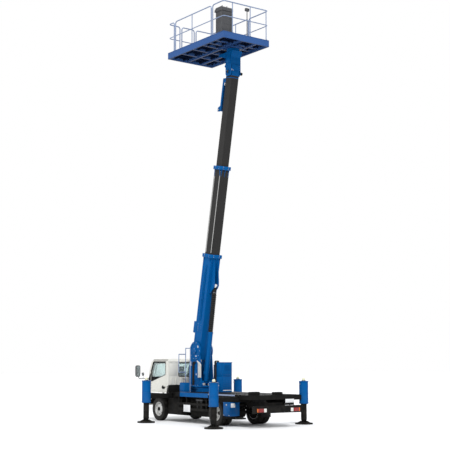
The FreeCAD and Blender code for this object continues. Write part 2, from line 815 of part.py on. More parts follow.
def cab():
    """Shell, glass, seats, dashboard, steering wheel, headlamps and mirrors."""
    void = cab_hull("cab_void", D.panel)
    holes = [
        void,
        pull("door_openings", "side", door_outline(0), -D.cab_half - 20, D.cab_half + 20),
        screen_strip("screen_opening", 0.08, 0.92, 70, -60, 690),
        block("rear_window_opening", (D.cab_back - 20, D.cab_back + D.panel + 20), (-450, 450), (1440, 1860)),
    ]
    shell = [cab_hull("cab_skin", sized(0))]
    for hand, side in SIDES:
        lug = (D.tilt_x - 30, D.tilt_x + 30)
        shell.append(block(f"tilt_lug_{hand}", lug, across(side, 235, 280), (D.tilt_z - 42, D.cab_floor + 2)))
    holes.append(rod("tilt_bore", D.tilt_pin + 2, 800, (D.tilt_x, -400, D.tilt_z), "y"))
    node("cab_shell", shell, holes)
    screen = screen_strip("screen_pane", 0.08, 0.92, 24, 18, 690)
    middle = D.cab_back + D.panel / 2
    pane = block("rear_pane", (middle - 3, middle + 3), (-450, 450), (1440, 1860))
    node("cab_glass", [screen, pane])
    seats = []
    for hand, side in SIDES:
        seats.append(block(f"seat_base_{hand}", (2860, 3330), across(side, 130, 700), (D.door_low, 1180)))
        seats.append(block(f"seat_back_{hand}", (2800, 2860), across(side, 130, 700), (D.door_low, 1760)))
    node("cab_seats", seats)
    dash = pull(
        "dash",
        "side",
        [(3640, 1150), (3640, 1290), (3860, 1310), (3920, 1250), (3930, 1000), (3780, 1000)],
        -700,
        700,
    )
    legs = [
        block(f"dash_leg_{hand}", (3800, 3880), across(side, 560, 620), (D.cab_floor + D.panel, 1000))
        for hand, side in SIDES
    ]
    node("dashboard", [dash, *legs])
    wheel_ring = doc.addObject("Part::Torus", "steering_ring")
    bind(wheel_ring, Radius1=185, Radius2=14)
    hub = rod("steering_hub", 45, 40, (0, 0, -30))
    spoke = block("steering_spoke", (-14, 14), (-185, 185), (-12, 8))
    column = rod("steering_column", 22, 435, (0, 0, -455))
    wheel = joined("steering_parts", [wheel_ring, hub, spoke, column])
    wheel.Placement = FreeCAD.Placement(Vector(3480, -410, 1370), Rotation(Vector(0, 1, 0), -28))
    foot = block("column_foot", (3650, 3718), (-450, -370), (D.door_low, 980))
    node("steering_wheel", [wheel, foot])
    lamps = [
        block(f"headlamp_{hand}", (4020, 4045), across(side, 420, 640), (990, 1130)) for hand, side in SIDES
    ]
    node("headlamps", lamps)
    mirrors()


def mirrors():
    """A tall mirror and a small round one on a thin arm at each front corner."""
    pieces = []
    for hand, side in SIDES:
        arm = across(side, 745, 1200)
        stand = 3945
        pieces.append(rod(f"mirror_arm_{hand}", 12, arm[1] - arm[0], (stand, arm[0], 1350), "y"))
        pieces.append(rod(f"mirror_post_{hand}", 10, 100, (stand, side * sized(1180), 1350)))
        pieces.append(
            block(f"mirror_head_{hand}", (stand - 25, stand + 30), across(side, 1140, 1310), (1400, 1780))
        )
        pieces.append(rod(f"mirror_stem_{hand}", 8, 120, (stand, side * sized(1020), 1350)))
        pieces.append(
            block(f"mirror_small_{hand}", (stand - 15, stand + 20), across(side, 980, 1070), (1440, 1540))
        )
    node("mirrors", pieces)


def doors():
    """The two doors with their windows cut, and their panes."""
    for hand, side in SIDES:
        low, high = across(side, D.cab_half - D.panel, D.cab_half)
        slab = pull(f"door_{hand}_slab", "side", door_outline(D.door_gap), low, high)
        hole = pull(f"door_{hand}_hole", "side", WINDOW, low - 10, high + 10)
        handle = rod(
            f"door_{hand}_handle",
            45,
            18,
            (D.door_rear + 120, low if side < 0 else high - 3, 1140),
            "y",
        )
        if side < 0:
            seat(handle, D.door_rear + 120, low - 15, 1140)
        pieces = [slab, handle]
        for number, height in enumerate((1050, 1520), 1):
            strap = across(side, D.cab_half, D.cab_half + 12)
            pieces.append(
                block(f"door_{hand}_strap_{number}", (3668, D.hinge_x - 3), strap, (height, height + 55))
            )
            knuckle_at = (D.hinge_x, side * D.hinge_y, height - 10)
            pieces.append(rod(f"door_{hand}_knuckle_{number}", 12, 75, knuckle_at))
        node(f"door_{hand}", pieces, [hole])
        middle = (low + high) / 2
        pane = pull(f"door_{hand}_pane", "side", WINDOW, middle - D.glass / 2, middle + D.glass / 2)
        node(f"door_glass_{hand}", [pane])


# ---------------------------------------------------------------- turret


def turret():
    """The slewing disc, two cheeks that carry the boom and the front web between them."""
    x, z = D.slew_x, D.luff_z
    cheek = [
        (x - 400, D.disc_top),
        (x - 330, 1420),
        (x - 260, z - 60),
        (x - 260, z + 110),
        (x - 110, z + 260),
        (x + 110, z + 260),
        (x + 260, z + 110),
        (x + 260, z - 100),
        (x + 330, 1700),
        (x + 330, D.disc_top),
    ]
    pieces = [rod("slew_disc", D.disc_radius, D.disc_top - D.disc_bottom, (x, 0, D.disc_bottom))]
    for hand, side in SIDES:
        low, high = across(side, D.cheek_in, D.cheek_out)
        pieces.append(pull(f"cheek_{hand}", "side", cheek, low, high))
        pieces.append(rod(f"cheek_round_{hand}", 300, high - low, (x, low, z), "y"))
        low, high = across(side, D.base_half_w + 6, D.cheek_out + 25)
        pieces.append(rod(f"luff_boss_{hand}", 90, high - low, (x, low, z), "y"))
        low, high = across(side, D.eye_half + 35, D.cheek_out + 12)
        pieces.append(rod(f"lift_boss_{hand}", 50, high - low, (D.lift_pin_x, low, D.lift_pin_z), "y"))
    pieces.append(block("turret_web", (x + 290, x + 320), (-D.cheek_out, D.cheek_out), (D.disc_top, 1660)))
    node("turret", pieces)


def control_stand():
    """The ground control post and hand rails beside the turret, standing on the bed."""
    tube = 16
    near, far, top = 560, 820, 2330
    pieces = []
    for number, x in enumerate((1870, 2130), 1):
        pieces.append(rod(f"stand_post_{number}", tube - 2, top - D.bed_top, (x, near, D.bed_top)))
    pieces.append(rod("stand_top", tube, 260, (1870, near, top), "x"))
    for number, height in enumerate((1570, 2140), 1):
        pieces.append(rod(f"hoop_bar_{number}", tube, far - near, (2130, near, height), "y"))
    pieces.append(rod("hoop_post", tube - 3, 570, (2130, far, 1570)))
    pieces.append(block("valve_case", (1870, 2130), (near, far - 40), (D.bed_top, 1240)))
    node("control_stand", pieces)


# ---------------------------------------------------------------- boom, in its own leaned frame

BOOM_AT = (D.slew_x, 0, D.luff_z)


def box_section(name, half_w, half_d, start, end):
    """A hollow rectangular boom section between two distances from the luff pin."""
    skin = block(f"{name}_skin", (-half_d, half_d), (-half_w, half_w), (start, end))
    gauge = D.boom_gauge
    void = block(
        f"{name}_void",
        (-half_d + gauge, half_d - gauge),
        (-half_w + gauge, half_w - gauge),
        (start - 10, end + 10),
    )
    return skin, void


def collar(name, half_w, half_d, end):
    """The thick band round a section's outer end."""
    grow = D.collar_out
    return block(
        name,
        (-half_d - grow, half_d + grow),
        (-half_w - grow, half_w + grow),
        (end - D.collar_deep, end),
    )


def boom_sections():
    """Base, middle and top sections, each sliding in the one before."""
    skin, void = box_section("base", D.base_half_w, D.base_half_d, -D.base_foot, D.base_end)
    inner = D.base_half_d - D.boom_gauge
    solid_foot = block(
        "base_foot_plug",
        (-inner, inner),
        (-D.base_half_w + 5, D.base_half_w - 5),
        (-D.base_foot, 60),
    )
    band = collar("base_collar", D.base_half_w, D.base_half_d, D.base_end)
    back, along = -D.lift_eye_back, D.lift_eye_along
    face = -D.base_half_d
    fin = [
        (face, along + 840),
        (face - 20, along + 840),
        (back - 70, along + 130),
        (back - 90, along),
        (back - 60, along - 80),
        (face, along - 300),
    ]
    fins = []
    for hand, side in SIDES:
        low, high = across(side, D.eye_half + 12, D.eye_half + 37)
        fins.append(pull(f"lift_fin_{hand}", "side", fin, low, high))
    rest = block("hose_box", (D.base_half_d, D.base_half_d + 45), (-70, 120), (430, 830))
    plug = less("base_tube", [skin, band, rest] + fins, [void])
    node("boom_base", [plug, solid_foot], at=BOOM_AT, lean=D.luff_lean)
    skin, void = box_section("mid", D.mid_half_w, D.mid_half_d, D.mid_start, D.mid_end)
    band = collar("mid_collar", D.mid_half_w, D.mid_half_d, D.mid_end)
    node("boom_mid", [skin, band], [void], at=BOOM_AT, lean=D.luff_lean)
    boom_top()


def boom_top():
    """The top section with its head, and the two bars that carry the levelling cylinder's foot."""
    skin, void = box_section("top", D.top_half_w, D.top_half_d, D.top_start, D.top_end - 190)
    head = block(
        "top_head",
        (-D.top_half_d, D.top_half_d),
        (-D.top_half_w, D.top_half_w),
        (D.top_end - 190, D.top_end + 60),
    )
    node("boom_top", [less("top_tube", [skin], [void]), head], at=BOOM_AT, lean=D.luff_lean)
    pieces = []
    near, off, foot = D.top_half_d, D.level_pin_off, D.level_pin_along
    for hand, side in SIDES:
        low, high = across(side, 84, 104)
        bar = [
            (near, D.top_end - 180),
            (near, D.top_end - 310),
            (off - 130, D.top_end - 335),
            (off - 130, foot),
            (off - 50, foot - 60),
            (off + 50, foot - 60),
            (off + 50, foot + 60),
            (off - 60, foot + 130),
            (off - 60, D.top_end - 200),
        ]
        pieces.append(pull(f"level_bar_{hand}", "side", bar, low, high))
    node("level_bars", pieces, at=BOOM_AT, lean=D.luff_lean)


def boom_point(along, off):
    """A boom-frame point, in the machine's: how far along from the luff pin and forwards of its line."""
    lean = math.radians(D.luff_lean.value)
    x = D.slew_x.value - along * math.sin(lean) + off * math.cos(lean)
    z = D.luff_z.value + along * math.cos(lean) + off * math.sin(lean)
    return x, z


def cylinder(name, foot, eye, barrel, rod_sizes, eyes):
    """A hydraulic cylinder, foot pin to rod eye: a barrel node and a rod node on one slanted line."""
    (foot_x, foot_z), (eye_x, eye_z) = foot, eye
    radius, bore, length = barrel
    rod_radius, rod_start = rod_sizes
    eye_radius, eye_half = eyes
    reach = math.hypot(eye_x - foot_x, eye_z - foot_z)
    lean = math.degrees(math.atan2(foot_x - eye_x, eye_z - foot_z))
    lean = Size(lean, str(round(lean, 9)))
    at = (sized(foot_x), 0, foot_z)
    foot_eye = rod(f"{name}_foot_eye", eye_radius, eye_half * 2, (0, -eye_half, 0), "y")
    tube = rod(f"{name}_tube", radius, length - 40, (0, 0, 40))
    hollow = rod(f"{name}_hollow", bore, length, (0, 0, radius + 80))
    node(f"{name}_barrel", [foot_eye, tube], [hollow], at=at, lean=lean)
    shaft = rod(f"{name}_shaft", rod_radius, reach - rod_start, (0, 0, rod_start))
    rod_eye = rod(f"{name}_rod_eye", eye_radius, eye_half * 2, (0, -eye_half, reach), "y")
    node(f"{name}_rod", [shaft, rod_eye], at=at, lean=lean)


def cylinders():
    """The lift cylinder under the boom and the levelling cylinder at its head."""
    cylinder(
        "lift",
        (D.lift_pin_x.value, D.lift_pin_z.value),
        boom_point(D.lift_eye_along.value, -D.lift_eye_back.value),
        (D.lift_barrel_radius, D.lift_bore, D.lift_barrel_length),
        (D.lift_rod_radius, D.lift_rod_start),
        (D.eye_radius, D.eye_half),
    )
    head_x, head_z = boom_point(D.top_end.value, 0)
    cylinder(
        "level",
        boom_point(D.level_pin_along.value, D.level_pin_off.value),
        (head_x + D.level_eye_x.value, head_z + D.level_eye_z.value),
        (D.level_barrel_radius, D.level_bore, D.level_barrel_length),
        (D.level_rod_radius, D.level_barrel_length - 140),
        (sized(42), sized(40)),
    )


# ---------------------------------------------------------------- neck and deck


def neck():
    """The levelled neck between the boom's head and the deck."""
    x, z = (sized(round(amount, 6)) for amount in boom_point(D.top_end.value, 0))
    pieces = []
    depth = D.neck_half_d
    for hand, side in SIDES:
        low, high = across(side, D.neck_half_w - D.neck_gauge, D.neck_half_w)
        cheek = [
            (-depth, -60),
            (-90, -130),
            (90, -130),
            (depth, -60),
            (depth, D.neck_box_low + 60),
            (-depth, D.neck_box_low + 60),
        ]
        pieces.append(pull(f"neck_cheek_{hand}", "side", cheek, low, high))
        low, high = across(side, D.top_half_w + 6, D.neck_half_w + 30)
        pieces.append(rod(f"neck_boss_{hand}", 60, high - low, (0, low, 0), "y"))
        low, high = across(side, 56, 74)
        lever = [
            (depth - 20, D.neck_box_low + 10),
            (D.level_eye_x - 10, D.level_eye_z - 60),
            (D.level_eye_x + 60, D.level_eye_z),
            (D.level_eye_x + 10, D.level_eye_z + 70),
            (depth - 20, D.neck_box_low + 240),
        ]
        pieces.append(pull(f"level_lever_{hand}", "side", lever, low, high))
    box = pull(
        "neck_box",
        "side",
        [
            (-depth, D.neck_box_low),
            (depth, D.neck_box_low),
            (depth, D.neck_head - 190),
            (500, D.neck_head - 60),
            (500, D.neck_head),
            (-240, D.neck_head),
            (-depth, D.neck_head - 200),
        ],
        -D.neck_half_w,
        D.neck_half_w,
    )
    pieces.append(box)
    pieces.append(rod("deck_ring", D.ring_radius, D.deck_bottom - 6 - D.neck_head - z, (0, 0, D.neck_head)))
    node("neck", pieces, at=(x, 0, z))


def deck_floor():
    """The deck's plate, rim and the bearers under it."""
    rear, front = D.deck_rear, D.deck_rear + D.deck_length
    right, left = D.deck_shift_y - D.deck_width / 2, D.deck_shift_y + D.deck_width / 2
    low, high = D.deck_bottom, D.deck_bottom + D.deck_rim
    edge = 40
    pieces = [block("deck_plate", (rear, front), (right, left), (high - 40, high - 28))]
    pieces.append(block("deck_grip_plate", (200, 2300), (-600, 860), (high - 28, high - 22)))
    rims = (
        ("rear", (rear, rear + edge), (right, left)),
        ("front", (front - edge, front), (right, left)),
        ("right", (rear, front), (right, right + edge)),
        ("left", (rear, front), (left - edge, left)),
    )
    for name, x, y in rims:
        pieces.append(block(f"rim_{name}", x, y, (low, high)))
    for number, place in enumerate((-60, 280, 620, 1180, 1800), 1):
        pieces.append(
            block(f"deck_bearer_{number}", (place, place + 70), (right, left), (low + 40, high - 40))
        )
    for number, place in enumerate((-330, 230), 1):
        pieces.append(
            block(f"deck_stringer_{number}", (rear, front), (place, place + 70), (low + 20, high - 40))
        )
    pieces.append(block("deck_hub", (105, 555), (-230, 230), (low, high - 40)))
    node("deck_floor", pieces)


def deck_rails():
    """Top and middle rails on posts round the deck, open at the forward end for the gate."""
    tube, inset = D.rail_tube, D.rail_inset
    rear, front = D.deck_rear + inset, D.deck_rear + D.deck_length - inset
    half = D.deck_width / 2 - inset
    right, left = D.deck_shift_y - half, D.deck_shift_y + half
    foot = D.deck_bottom + D.deck_rim
    pieces = []
    for level, high in (("top", D.rail_high), ("middle", D.rail_middle)):
        z = foot + high
        for hand, y in (("left", left), ("right", right)):
            pieces.append(rod(f"{level}_rail_{hand}", tube, front - rear, (rear, y, z), "x"))
        pieces.append(rod(f"{level}_rail_rear", tube - 1, left - right, (rear, right, z), "y"))
        for hand, start in (("left", left - 520), ("right", right)):
            pieces.append(rod(f"{level}_rail_front_{hand}", tube - 1, 520, (front, start, z), "y"))
    for hand, y in (("left", left), ("right", right)):
        for number, share in enumerate((0.0, 0.21, 0.5, 0.79, 1.0), 1):
            x = rear + (front - rear) * share
            pieces.append(rod(f"post_{hand}_{number}", tube - 3, D.rail_high, (x, y, foot)))
    for number, y in enumerate((left - 520, right + 520), 1):
        pieces.append(rod(f"gate_post_{number}", tube - 3, D.rail_high, (front, y, foot)))
    pieces.append(rod("rear_post", tube - 3, D.rail_high, (rear, D.deck_shift_y, foot)))
    node("deck_rails", pieces)


def deck_console():
    """The control console inside the rails near the rear left corner."""
    rear = D.deck_rear + D.rail_inset + 270
    left = D.deck_shift_y + D.deck_width / 2 - 160
    foot = D.deck_bottom + D.deck_rim - 28
    pieces = [block("console_body", (rear, rear + 330), (left - 400, left), (foot, foot + 815))]
    lid = [
        (rear - 20, 795),
        (rear - 20, 885),
        (rear + 10, 920),
        (rear + 300, 920),
        (rear + 375, 855),
        (rear + 375, 795),
    ]
    pieces.append(pull("console_lid", "side", [(x, foot + z) for x, z in lid], left - 420, left + 20))
    pieces.append(
        block("console_pocket", (rear + 330, rear + 375), (left - 360, left - 40), (foot + 300, foot + 805))
    )
    node("deck_console", pieces)


# ---------------------------------------------------------------- build, check and write

chassis_frame()
front_axle()
rear_axle()
drive_line()
side_boxes()
side_guards()
front_bumper()
rear_bar()
mudguards()
subframe()
flat_bed()
deck_rests()
power_cabinet()
jack_sleeves()
jacks()
wheels()
knuckles()
cab()
doors()
turret()
control_stand()
boom_sections()
cylinders()
neck()
deck_floor()
deck_rails()
deck_console()

doc.recompute()
for item in doc.Objects:
    if {"Invalid", "Error"} & set(item.State):
        raise RuntimeError(f"{item.Name} did not compute: {item.State}")
whole = FreeCAD.BoundBox()
broken = [item.Label for item in nodes if not item.Shape.Solids or not item.Shape.isValid()]
if broken:
    raise RuntimeError(f"not valid solids: {broken}")
for item in nodes:
    shape = item.Shape
    whole.add(shape.BoundBox)
    shape.exportStep(f"parts/{item.Label}.step")
print(len(nodes), "nodes written; whole box", whole)
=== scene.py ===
import math

import bmesh
import bpy
from mathutils import Matrix, Vector


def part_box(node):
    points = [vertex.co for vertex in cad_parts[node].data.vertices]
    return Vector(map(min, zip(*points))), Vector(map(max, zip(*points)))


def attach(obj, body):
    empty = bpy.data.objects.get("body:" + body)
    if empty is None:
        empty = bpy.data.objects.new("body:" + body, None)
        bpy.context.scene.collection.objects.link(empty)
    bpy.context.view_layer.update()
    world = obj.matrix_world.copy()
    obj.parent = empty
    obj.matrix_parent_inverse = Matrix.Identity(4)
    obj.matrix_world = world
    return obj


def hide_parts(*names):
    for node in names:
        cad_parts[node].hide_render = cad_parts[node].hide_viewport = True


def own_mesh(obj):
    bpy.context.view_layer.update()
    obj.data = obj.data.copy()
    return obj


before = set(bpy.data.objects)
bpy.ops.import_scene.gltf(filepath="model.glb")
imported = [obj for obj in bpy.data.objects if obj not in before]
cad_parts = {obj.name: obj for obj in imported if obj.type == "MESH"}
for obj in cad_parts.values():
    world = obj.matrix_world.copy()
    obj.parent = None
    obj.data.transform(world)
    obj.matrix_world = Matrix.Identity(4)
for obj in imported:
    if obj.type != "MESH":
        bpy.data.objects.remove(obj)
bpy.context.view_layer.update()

SIDES = (("left", 1), ("right", -1))
BED_TOP = 0.951

# ---------------------------------------------------------------- shader maths


def maths(operation, reflected=False):
    """An operator for Flow that adds one Math node."""

    def apply(self, other):
        values = (other, self) if reflected else (self, other)
        return self.paint.add("ShaderNodeMath", {"operation": operation}, dict(enumerate(values)))

    return apply


class Flow:
    """One output socket of a material. Its operators add Math nodes."""

    __add__, __radd__ = maths("ADD"), maths("ADD", True)
    __sub__, __rsub__ = maths("SUBTRACT"), maths("SUBTRACT", True)
    __mul__, __rmul__ = maths("MULTIPLY"), maths("MULTIPLY", True)

    def __init__(self, paint, socket):
        self.paint = paint
        self.socket = socket

    def above(self, edge, soft):
        """0 below edge, 1 above it, over a soft width."""
        limits = {"Value": self, "From Min": edge - soft, "From Max": edge + soft}
        return self.paint.add("ShaderNodeMapRange", {"interpolation_type": "SMOOTHSTEP"}, limits)

    def between(self, low, high):
        """This 0 to 1 value stretched between two numbers."""
        return self * (high - low) + low

    def blend(self, first, second):
        """The first colour at 0 and the second at 1."""
        values = {"Factor_Float": self, "A_Color": first, "B_Color": second}
        return self.paint.add("ShaderNodeMix", {"data_type": "RGBA"}, values, "Result_Color")


class Paint:
    """A material with one Principled shader and the nodes that feed it."""

    def __init__(self, name):
        self.material = bpy.data.materials.new(name)
        self.material.use_nodes = True
        self.tree = self.material.node_tree
        self.shader = self.tree.nodes["Principled BSDF"]
        self.place = self.add("ShaderNodeTexCoord", {}, {}, "Object")

    def add(self, kind, settings, values, output=0):
        """A node of one type with its settings and its sockets' values or links."""
        made = self.tree.nodes.new(kind)
        for name, value in settings.items():
            setattr(made, name, value)
        for name, value in values.items():
            self.put(self.find(made.inputs, name), value)
        return Flow(self, self.find(made.outputs, output))

    @staticmethod
    def find(sockets, name):
        if isinstance(name, int):
            return sockets[name]
        return next((s for s in sockets if s.identifier == name), None) or sockets[name]

    def put(self, socket, value):
        if isinstance(value, Flow):
            self.tree.links.new(value.socket, socket)
        elif isinstance(value, tuple) and len(value) == 3 and socket.type == "RGBA":
            socket.default_value = (*value, 1)
        else:
            socket.default_value = value

    def set(self, **values):
        """Sets or links the shader's own sockets; an underscore stands for a space."""
        for name, value in values.items():
            self.put(self.shader.inputs[name.replace("_", " ")], value)

    def noise(self, scale, detail=3, stretch=(1, 1, 1)):
        """Cloudy 0 to 1 variation, with a stretch of the pattern on each axis."""
        where = self.add("ShaderNodeMapping", {}, {"Vector": self.place, "Scale": stretch}, "Vector")
        values = {"Vector": where, "Scale": scale, "Detail": detail}
        return self.add("ShaderNodeTexNoise", {}, values, "Fac")

    def height(self):
        """How far up the machine, in metres."""
        return self.add("ShaderNodeSeparateXYZ", {}, {"Vector": self.place}, "Z")

    def relief(self, amount, distance):
        """Small bumps from a value."""
        values = {"Height": amount, "Strength": 1.0, "Distance": distance}
        self.set(Normal=self.add("ShaderNodeBump", {}, values, "Normal"))


def toned(colour, factor, lift=0.0):
    """A colour made darker or paler."""
    return tuple(c * factor + lift for c in colour)


def enamel(
    name, colour, shade, rough=0.32, coat=0.0, dust=0.15, metallic=0.0, shine=0.05, under=None, low=None
):
    """Machine paint: slow tone changes, road dust low down, dull scuffs and orange peel.

    A colour given as under is painted shade for faces that look down, one given as low for what is below the
    bed's top.
    """
    paint = Paint(name)
    tone = paint.noise(1.6, 4).blend(shade, colour)
    # painted shade: faces that look down take the darker under colour
    if under:
        facing_way = paint.add("ShaderNodeNewGeometry", {}, {}, "Normal")
        upward = paint.add("ShaderNodeSeparateXYZ", {}, {"Vector": facing_way}, "Z")
        tone = upward.above(-0.5, 0.3).blend(under, tone)
    if low:
        tone = paint.height().above(BED_TOP, 0.002).blend(low, tone)
    fine = paint.noise(38, 5)
    near_road = 1 - paint.height().above(0.75, 0.6)
    dirt = near_road * paint.noise(7, 6).above(0.5, 0.2) * dust
    paint.set(Base_Color=dirt.blend(tone, (0.17, 0.15, 0.12)))
    paint.set(Roughness=fine.between(rough - 0.08, rough + 0.10) + dirt * 0.35)
    paint.set(Metallic=metallic, Coat_Weight=coat, Coat_Roughness=0.12, Specular_IOR_Level=shine)
    paint.relief(paint.noise(260, 2) + fine * 0.6, 0.0004)
    return paint.material


def rubber(name, colour, grain=180):
    """Weathered rubber: matt, with paler worn patches and a fine grain."""
    paint = Paint(name)
    worn = paint.noise(9, 6).above(0.56, 0.14)
    paint.set(Base_Color=worn.blend(colour, toned(colour, 1.5, 0.003)), Specular_IOR_Level=0.15)
    paint.set(Roughness=paint.noise(30, 3).between(0.62, 0.86))
    paint.relief(paint.noise(grain, 4), 0.0007)
    return paint.material


def metal(name, colour, rough, stretch=(1, 1, 1), scale=60):
    """Bare metal with drawn or turned marks along one way."""
    paint = Paint(name)
    marks = paint.noise(scale, 4, stretch)
    paint.set(Base_Color=marks.blend(toned(colour, 0.78), colour), Metallic=1.0)
    paint.set(Roughness=marks.between(rough * 0.7, rough * 1.5))
    paint.relief(marks, 0.0002)
    return paint.material


def moulded(name, colour, rough=0.5):
    """Grained moulded plastic with slightly faded patches."""
    paint = Paint(name)
    paint.set(Base_Color=paint.noise(5, 4).blend(toned(colour, 0.75), toned(colour, 1.2)))
    paint.set(Roughness=paint.noise(45, 3).between(rough - 0.1, rough + 0.12))
    paint.relief(paint.noise(420, 2), 0.0005)
    return paint.material


def lens(name, colour):
    """A lamp's moulded lens with fine ribs."""
    paint = Paint(name)
    ribs = paint.add(
        "ShaderNodeTexWave", {"bands_direction": "Z"}, {"Vector": paint.place, "Scale": 38.0}, "Fac"
    )
    paint.set(Base_Color=ribs.blend(toned(colour, 0.7), colour), Roughness=0.15, Coat_Weight=0.3)
    paint.relief(ribs, 0.0012)
    return paint.material


def pane(name, tint):
    """Clear tinted glass with a faint film of dust."""
    paint = Paint(name)
    film = paint.noise(6, 5).above(0.6, 0.25)
    paint.set(Base_Color=film.blend(tint, toned(tint, 0.9)), Roughness=film.between(0.02, 0.10))
    paint.set(Transmission_Weight=0.82, IOR=1.45)
    return paint.material


BLUE_TONES = (0.001, 0.094, 0.305), (0.001, 0.072, 0.240)
BLUE = enamel("blue_enamel", *BLUE_TONES)
PEDESTAL = enamel("pedestal_enamel", *BLUE_TONES, low=(0.008, 0.008, 0.009))
# the deck's faces that look down get a near-black navy as painted shade
DECK_BLUE = enamel("deck_enamel", (0.042, 0.105, 0.285), (0.031, 0.082, 0.230), under=(0.006, 0.020, 0.070))
# a navy darkened to stand for the shade under the deck: painted shade on the lattice below the floor
SHADED_NAVY = enamel("deck_underside_painted_shade", (0.006, 0.011, 0.032), (0.004, 0.008, 0.022), 0.75, shine=0.0)
DARK = enamel("slid_section_paint", (0.030, 0.029, 0.028), (0.020, 0.019, 0.019), 0.42, shine=0.1)
BLACK = enamel("chassis_paint", (0.009, 0.009, 0.009), (0.005, 0.005, 0.005), 0.5, dust=0.07)
IVORY = enamel("cab_enamel", (0.67, 0.66, 0.60), (0.62, 0.61, 0.555), 0.26, 0.25, 0.12, shine=0.4)
SILVER = enamel("wheel_enamel", (0.60, 0.60, 0.58), (0.44, 0.44, 0.43), 0.36, 0.1, 0.2, 0.3, shine=0.3)
WHITE = enamel("blank_plate_enamel", (0.74, 0.75, 0.76), (0.66, 0.67, 0.68), 0.3, 0.3, 0.1, shine=0.4)
TYRE = rubber("tyre_rubber", (0.017, 0.016, 0.015))
BELLOWS = rubber("bellows_rubber", (0.012, 0.012, 0.012), 240)
HOSE = rubber("hose_rubber", (0.014, 0.014, 0.015), 320)
CHROME = metal("rod_chrome", (0.78, 0.78, 0.79), 0.12, (1, 1, 0.05), 90)
STEEL = metal("zinc_steel", (0.55, 0.55, 0.54), 0.34)
RAIL = enamel("rail_enamel", (0.24, 0.30, 0.44), (0.17, 0.23, 0.36), 0.3, 0.2, 0.0, 0.2, shine=0.3)
IRON = enamel("engine_iron", (0.050, 0.048, 0.047), (0.030, 0.029, 0.028), 0.7, 0.0, 0.3, 0.3)
PLASTIC = moulded("grey_plastic", (0.055, 0.056, 0.060))
PALE_PLASTIC = moulded("mirror_plastic", (0.20, 0.21, 0.22), 0.42)
FABRIC = moulded("seat_cloth", (0.055, 0.058, 0.066), 0.85)
GLASS = pane("tinted_glass", (0.72, 0.83, 0.82))
RED = lens("red_lens", (0.25, 0.005, 0.005))
AMBER = lens("amber_lens", (0.66, 0.14, 0.010))
CLEAR = lens("clear_lens", (0.80, 0.80, 0.76))
PALE = lens("dome_lens", (0.78, 0.76, 0.55))

# the slot that each finish belongs to
SLOTS = (
    ("blue_paint", (BLUE, RAIL)),
    ("deck_blue", (DECK_BLUE, SHADED_NAVY)),
    ("frame_black", (BLACK, HOSE)),
    ("cab_ivory", (IVORY, WHITE)),
    ("wheel_silver", (SILVER,)),
    ("tyre_rubber", (TYRE, BELLOWS)),
    ("rod_chrome", (STEEL, CHROME)),
    ("engine_iron", (IRON,)),
    ("trim_plastic", (PLASTIC, PALE_PLASTIC, FABRIC)),
    ("lamp_lens", (RED, AMBER, CLEAR, PALE)),
)
SLOT_OF = {finish.name: slot for slot, finishes in SLOTS for finish in finishes}

# ---------------------------------------------------------------- mesh helpers

REAR = -1.115  # where the rear axle stands
UP = Vector((0, 0, 1))
at = Matrix.Translation


def ahead(x, y, z):
    """A point given by its distance ahead of the rear axle."""
    return Vector((x + REAR, y, z))


def facing(axis):
    """A turn that takes +Z to an axis."""
    return Vector(axis).to_track_quat("Z", "Y").to_matrix().to_4x4()


def stood(place, axis):
    """Stands what is made on +Z at a place, along an axis."""
    return at(place) @ facing(axis)


def rounded_path(corners, bend, closed=False, steps=6):
    """The corners of a bent tube with an arc of the bend radius at each."""
    corners = [Vector(c) for c in corners]
    count = len(corners)
    path = []
    for index, corner in enumerate(corners):
        if not closed and index in (0, count - 1):
            path.append(corner)
            continue
        back = corners[index - 1] - corner
        on = corners[(index + 1) % count] - corner
        turn = back.angle(on)
        if abs(turn - math.pi) < 0.02:
            path.append(corner)
            continue
        run = min(bend / math.tan(turn / 2), back.length * 0.49, on.length * 0.49)
        radius = run * math.tan(turn / 2)
        middle = corner + (back.normalized() + on.normalized()).normalized() * (radius / math.sin(turn / 2))
        first = (corner + back.normalized() * run - middle).normalized()
        last = (corner + on.normalized() * run - middle).normalized()
        path += [middle + first.slerp(last, step / steps) * radius for step in range(steps + 1)]
    return path


def boss(foot, head, tall):
    """The profile of a low round boss: its radius at the foot and at the head, and its height."""
    return [(0, 0), (foot, 0), (head, tall), (0, tall)]


def collar(bore, radius, low, tall, ease):
    """The closed profile of a ring with sloped ends round a tube."""
    return [(bore, low), (radius, low + ease), (radius, low + tall), (bore, low + tall + ease)]


